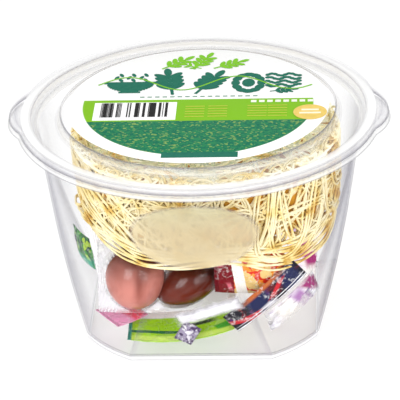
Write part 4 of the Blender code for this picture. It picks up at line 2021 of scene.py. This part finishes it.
def sachets() -> list[Sachet]:
    """The seasoning sachets, with their places as in the solids.

    Returns:
        The sachets.
    """
    return [
        Sachet(0.0430, 0.0270, 0.0012, (-0.0075, -0.0290, 0.0076), tilt=-6, lean=-86, bend=0.0034,
               node="sachet_green", finish=PrintedFilm(
                   "A0DA00", (Ink("0B6A33", (Stamp(0.24, 0.20, 0.22, 0.030, -4),)),
                              # The next two inks are painted shade: a near-black shadow, and a darker
                              # green at the right end.
                              Ink("1C3A10", (Stamp(0.66, 0.33, 0.14, 0.04, 8, soft=0.6),)),
                              Ink("3DA41C", (Stamp(0.90, 0.16, 0.08, 0.08, 20, soft=0.3),)),
                              Ink("CDF060", (Stamp(0.5, 0.06, 0.6, 0.05, 0, soft=0.8),)),
                              Ink("1E8F7C", (Stamp(0.0, 0.1, 0.035, 0.4, 0, soft=0.4),)),
                              Ink("F1EFF4", (Stamp(0.60, 0.90, 0.62, 0.34, 4, soft=0.10),))),
                   glint=0.12, painted_glow=0.10)),
        Sachet(0.0280, 0.0195, 0.0015, (0.0200, -0.0405, 0.0358), lean=10, bend=-0.0010,
               node="sachet_red", finish=PrintedFilm(
                   "F2CF86", (Ink("7C0418", (Stamp(0.13, 0.5, 0.15, 0.6),)),
                              Ink("D86A7C", (Stamp(0.07, 0.74, 0.05, 0.05, 30, soft=0.7),
                                             Stamp(0.22, 0.20, 0.03, 0.10, 10, soft=0.8))),
                              Ink("FCF8F2", (Stamp(0.35, 0.5, 0.075, 0.6, 5),))),
                   (Flakes("D8321A", 200, 0.48, 0.54), Flakes("EC9430", 250, 0.56, 0.60),
                    Flakes("7A1A12", 300, 0.66, 0.70)), glint=0.4)),
        Sachet(0.0360, 0.0100, 0.0010, (0.0262, -0.0436, 0.0270), yaw=16, lean=4, roll=39,
               bend=-0.0014, node="sachet_dark", finish=PrintedFilm(
                   "120E1C", (Ink("141C4A", (Stamp(0.42, 0.45, 0.13, 0.5, 0, soft=0.4),
                                             Stamp(0.84, 0.4, 0.12, 0.5, 0, soft=0.4))),
                              Ink("C21A28", (Stamp(0.04, 0.5, 0.06, 0.6, 30, soft=0.3),
                                             Stamp(0.24, 0.30, 0.06, 0.16, 50, soft=0.6),
                                             Stamp(0.66, 0.55, 0.05, 0.22, -30, soft=0.6))),
                              Ink("B8602C", (Stamp(0.52, 0.98, 0.26, 0.12, 3, soft=0.8),)),
                              Ink("D9D6DE", (Stamp(0.48, 0.16, 0.07, 0.14, 20, soft=0.7),)),
                              Ink("F4F3F8", (Stamp(0.5, 0.05, 0.6, 0.035, 0, soft=0.4),
                                             Stamp(0.6, 0.20, 0.5, 0.020, 1, soft=0.6)))),
                   (Flakes("5A101C", 170, 0.54, 0.60), Flakes("5B2A66", 240, 0.62, 0.68)), glint=0.45)),
        Sachet(0.0265, 0.0110, 0.0012, (0.0372, -0.0392, 0.0220), yaw=41, lean=6, roll=24,
               bend=-0.0016, node="sachet_clear", finish=PrintedFilm(
                   "F0ECF4", (Ink("A0206E", (Stamp(0.92, 0.62, 0.12, 0.40, 20, soft=0.6),)),
                              Ink("B07CB6", (Stamp(0.64, 0.5, 0.10, 0.5, 10, soft=0.9),)),
                              Ink("FFF8EE", (Stamp(0.36, 0.45, 0.14, 0.5, 10, soft=0.9),))),
                   (Flakes("9A78BE", 150, 0.56, 0.62), Flakes("4A3A72", 210, 0.62, 0.66),
                    Flakes("FFFFFF", 170, 0.52, 0.58)),
                   glint=0.6, cover=1.8, streaked=True)),
        Sachet(0.0290, 0.0075, 0.0008, (0.0040, -0.0486, 0.0238), lean=11, roll=20, bend=0.0004,
               node="sachet_white", crease=0.0004, finish=PrintedFilm(
                   "E9E7EC", (), (Flakes("C4C0CB", 110, 0.46, 0.66),), crinkle=50.0, glint=0.5,
                   streaked=True, clear_rim=0.6)),
        Sachet(0.0150, 0.0150, 0.0010, (-0.0318, -0.0318, 0.0134), yaw=40, lean=-86, bend=0.0006,
               node="sachet_pink", finish=PrintedFilm(
                   "F6A6CE", (Ink("E8566E", (Stamp(0.75, 0.3, 0.25, 0.3, 20, soft=0.5),)),),
                   glint=0.4)),
        Sachet(0.0145, 0.0145, 0.0011, (-0.0460, -0.0278, 0.0415), yaw=-60, lean=8, bend=-0.0006,
               node="sachet_leafy", finish=PrintedFilm(
                   "3A9430", (Ink("3FA58A", (Stamp(0.5, 0.1, 0.6, 0.2, 0, soft=0.8),)),
                              Ink("1C1830", (oval(0.24, 0.62, 0.09, 0.20),))),
                   (Flakes("064A20", 260, 0.45, 0.55), Flakes("A8C832", 230, 0.56, 0.62)), glint=0.3)),
        Sachet(0.0520, 0.0330, 0.0035, (-0.0200, 0.0040, 0.0285), yaw=24, lean=-24, bend=-0.0030,
               node="sachet_pearl", finish=PrintedFilm(
                   "FCFBFE", glint=0.6, painted_glow=0.40, back_inks=(
                       Ink("6FB52A", (Stamp(0.5, 0.5, 0.34, 0.30, 0, soft=0.04),)),
                       Ink("F7F3DC", (oval(0.36, 0.5, 0.11, 0.18),)),
                       Ink("1C7A54", (Stamp(0.64, 0.60, 0.12, 0.05), Stamp(0.60, 0.42, 0.08, 0.03))),
                       Ink("D9482E", (oval(0.36, 0.5, 0.05, 0.08),))))),
        Sachet(0.0440, 0.0330, 0.0035, (0.0255, 0.0110, 0.0275), yaw=-20, lean=-26, bend=-0.0030,
               node="sachet_cream", finish=PrintedFilm(
                   "FDFBF8", (Ink("A0206E", (Stamp(0.94, 0.30, 0.07, 0.16, 20, soft=0.6),)),
                              Ink("B48CCB", (Stamp(0.88, 0.66, 0.08, 0.16, -20, soft=0.8),
                                             Stamp(0.74, 0.12, 0.12, 0.08, 30, soft=0.8)))),
                   glint=0.6, painted_glow=0.40, back_inks=(
                       Ink("E9A23C", (Stamp(0.5, 0.5, 0.34, 0.30, 0, soft=0.04),)),
                       Ink("FBF3D8", (Stamp(0.5, 0.62, 0.24, 0.08), Stamp(0.44, 0.42, 0.14, 0.03))),
                       Ink("B23A1E", (oval(0.72, 0.36, 0.06, 0.10), oval(0.62, 0.34, 0.04, 0.07)))))),
        Sachet(0.0078, 0.0090, 0.0004, (-0.0048, -0.0455, 0.0122), lean=4, roll=-30, bend=0.0003,
               twist=4, steps_u=20, steps_v=20, node="sachet_silver", finish=PrintedFilm(
                   "A79CB6", (), (Flakes("4E3A60", 330, 0.50, 0.58), Flakes("EFEAF4", 300, 0.56, 0.62)),
                   crinkle=300.0, glint=0.8, metallic=0.35, roughness=0.3)),
    ]


@dataclass(frozen=True)
class Lamp:
    """A soft square lamp: its name, its place, its side and its power in watts."""

    name: str
    place: tuple[float, float, float]
    size: float
    watts: float

    def build(self, aim: Sequence[float]) -> None:
        """Add the lamp, pointed at a place."""
        data = bpy.data.lights.new(self.name, "AREA")
        data.size = self.size
        data.energy = self.watts
        lamp = bpy.data.objects.new(self.name, data)
        bpy.context.scene.collection.objects.link(lamp)
        lamp.location = self.place
        lamp.rotation_euler = (Vector(aim) - Vector(self.place)).to_track_quat("-Z", "Y").to_euler()


@dataclass(frozen=True)
class Studio:
    """A plain pale floor, soft light and the camera at the picture's angle."""

    elevation: float = 27.590
    azimuth: float = 3.545
    roll: float = 2.297
    aim: tuple[float, float, float] = (-0.000726, 0.0, 0.047323)
    distance: float = 1.0075
    lens: float = 225.0
    world: float = 0.74
    floor_glow: float = 0.84
    floor_size: float = 12.0
    floor_gap: float = 0.0002
    sensor: float = 36.0
    lamps: tuple[Lamp, ...] = (
        Lamp("key", (-0.45, -1.00, 0.50), 0.6, 6.0),
        Lamp("fill", (0.60, -0.90, 0.36), 0.6, 4.0),
        Lamp("top", (-0.05, -0.15, 1.20), 0.8, 2.0),
        Lamp("back", (0.10, 0.90, 0.90), 0.8, 1.5),
    )

    def camera(self) -> None:
        """Place the camera."""
        elevation, azimuth, roll = (math.radians(a) for a in (self.elevation, self.azimuth, self.roll))
        ahead = Vector((-math.sin(azimuth) * math.cos(elevation),
                        math.cos(azimuth) * math.cos(elevation), -math.sin(elevation)))
        level = Vector((math.cos(azimuth), math.sin(azimuth), 0))
        upright = level.cross(ahead)
        right = math.cos(roll) * level - math.sin(roll) * upright
        up = math.sin(roll) * level + math.cos(roll) * upright
        data = bpy.data.cameras.new("camera")
        data.lens = self.lens
        data.sensor_width = self.sensor
        data.clip_start = 0.01
        camera = bpy.data.objects.new("camera", data)
        bpy.context.scene.collection.objects.link(camera)
        camera.matrix_world = Matrix.Translation(Vector(self.aim) - ahead * self.distance) @ Matrix(
            (right, up, -ahead)).transposed().to_4x4()
        bpy.context.scene.camera = camera

    def floor(self) -> None:
        """Lay the pale floor."""
        deselected()
        bpy.ops.mesh.primitive_plane_add(size=self.floor_size, location=(0, 0, -self.floor_gap))
        floor = taken("floor")
        graph, shader, material = new_material("pale_floor")
        shade = graph.noise(graph.place(), 3.0)
        graph.feed_all(
            shader, Base_Color=graph.mix(shade, linear("787878"), linear("757575")), Roughness=0.9,
            Emission_Color=linear("FFFFFF"), Emission_Strength=self.floor_glow)
        floor.data.materials.append(material)

    def build(self) -> None:
        """Set up the whole studio."""
        self.camera()
        self.floor()
        for lamp in self.lamps:
            lamp.build(self.aim)
        world = bpy.data.worlds.new("studio")
        world.use_nodes = True
        Graph(world.node_tree).feed_all(
            world.node_tree.nodes["Background"], Color=linear("FFFFFF"), Strength=self.world)
        scene = bpy.context.scene
        scene.world = world
        scene.view_settings.view_transform = "Standard"
        scene.cycles.transparent_max_bounces = 48
        scene.cycles.max_bounces = 8


def main() -> None:
    """Build the cup and its studio."""
    logging.basicConfig(level=logging.INFO, format="%(message)s")
    for part in (Studio(), Tub(), Lid(), Label(), NoodleCake(), egg_pouch(), *sachets()):
        part.build()


if __name__ == "__main__":
    main()
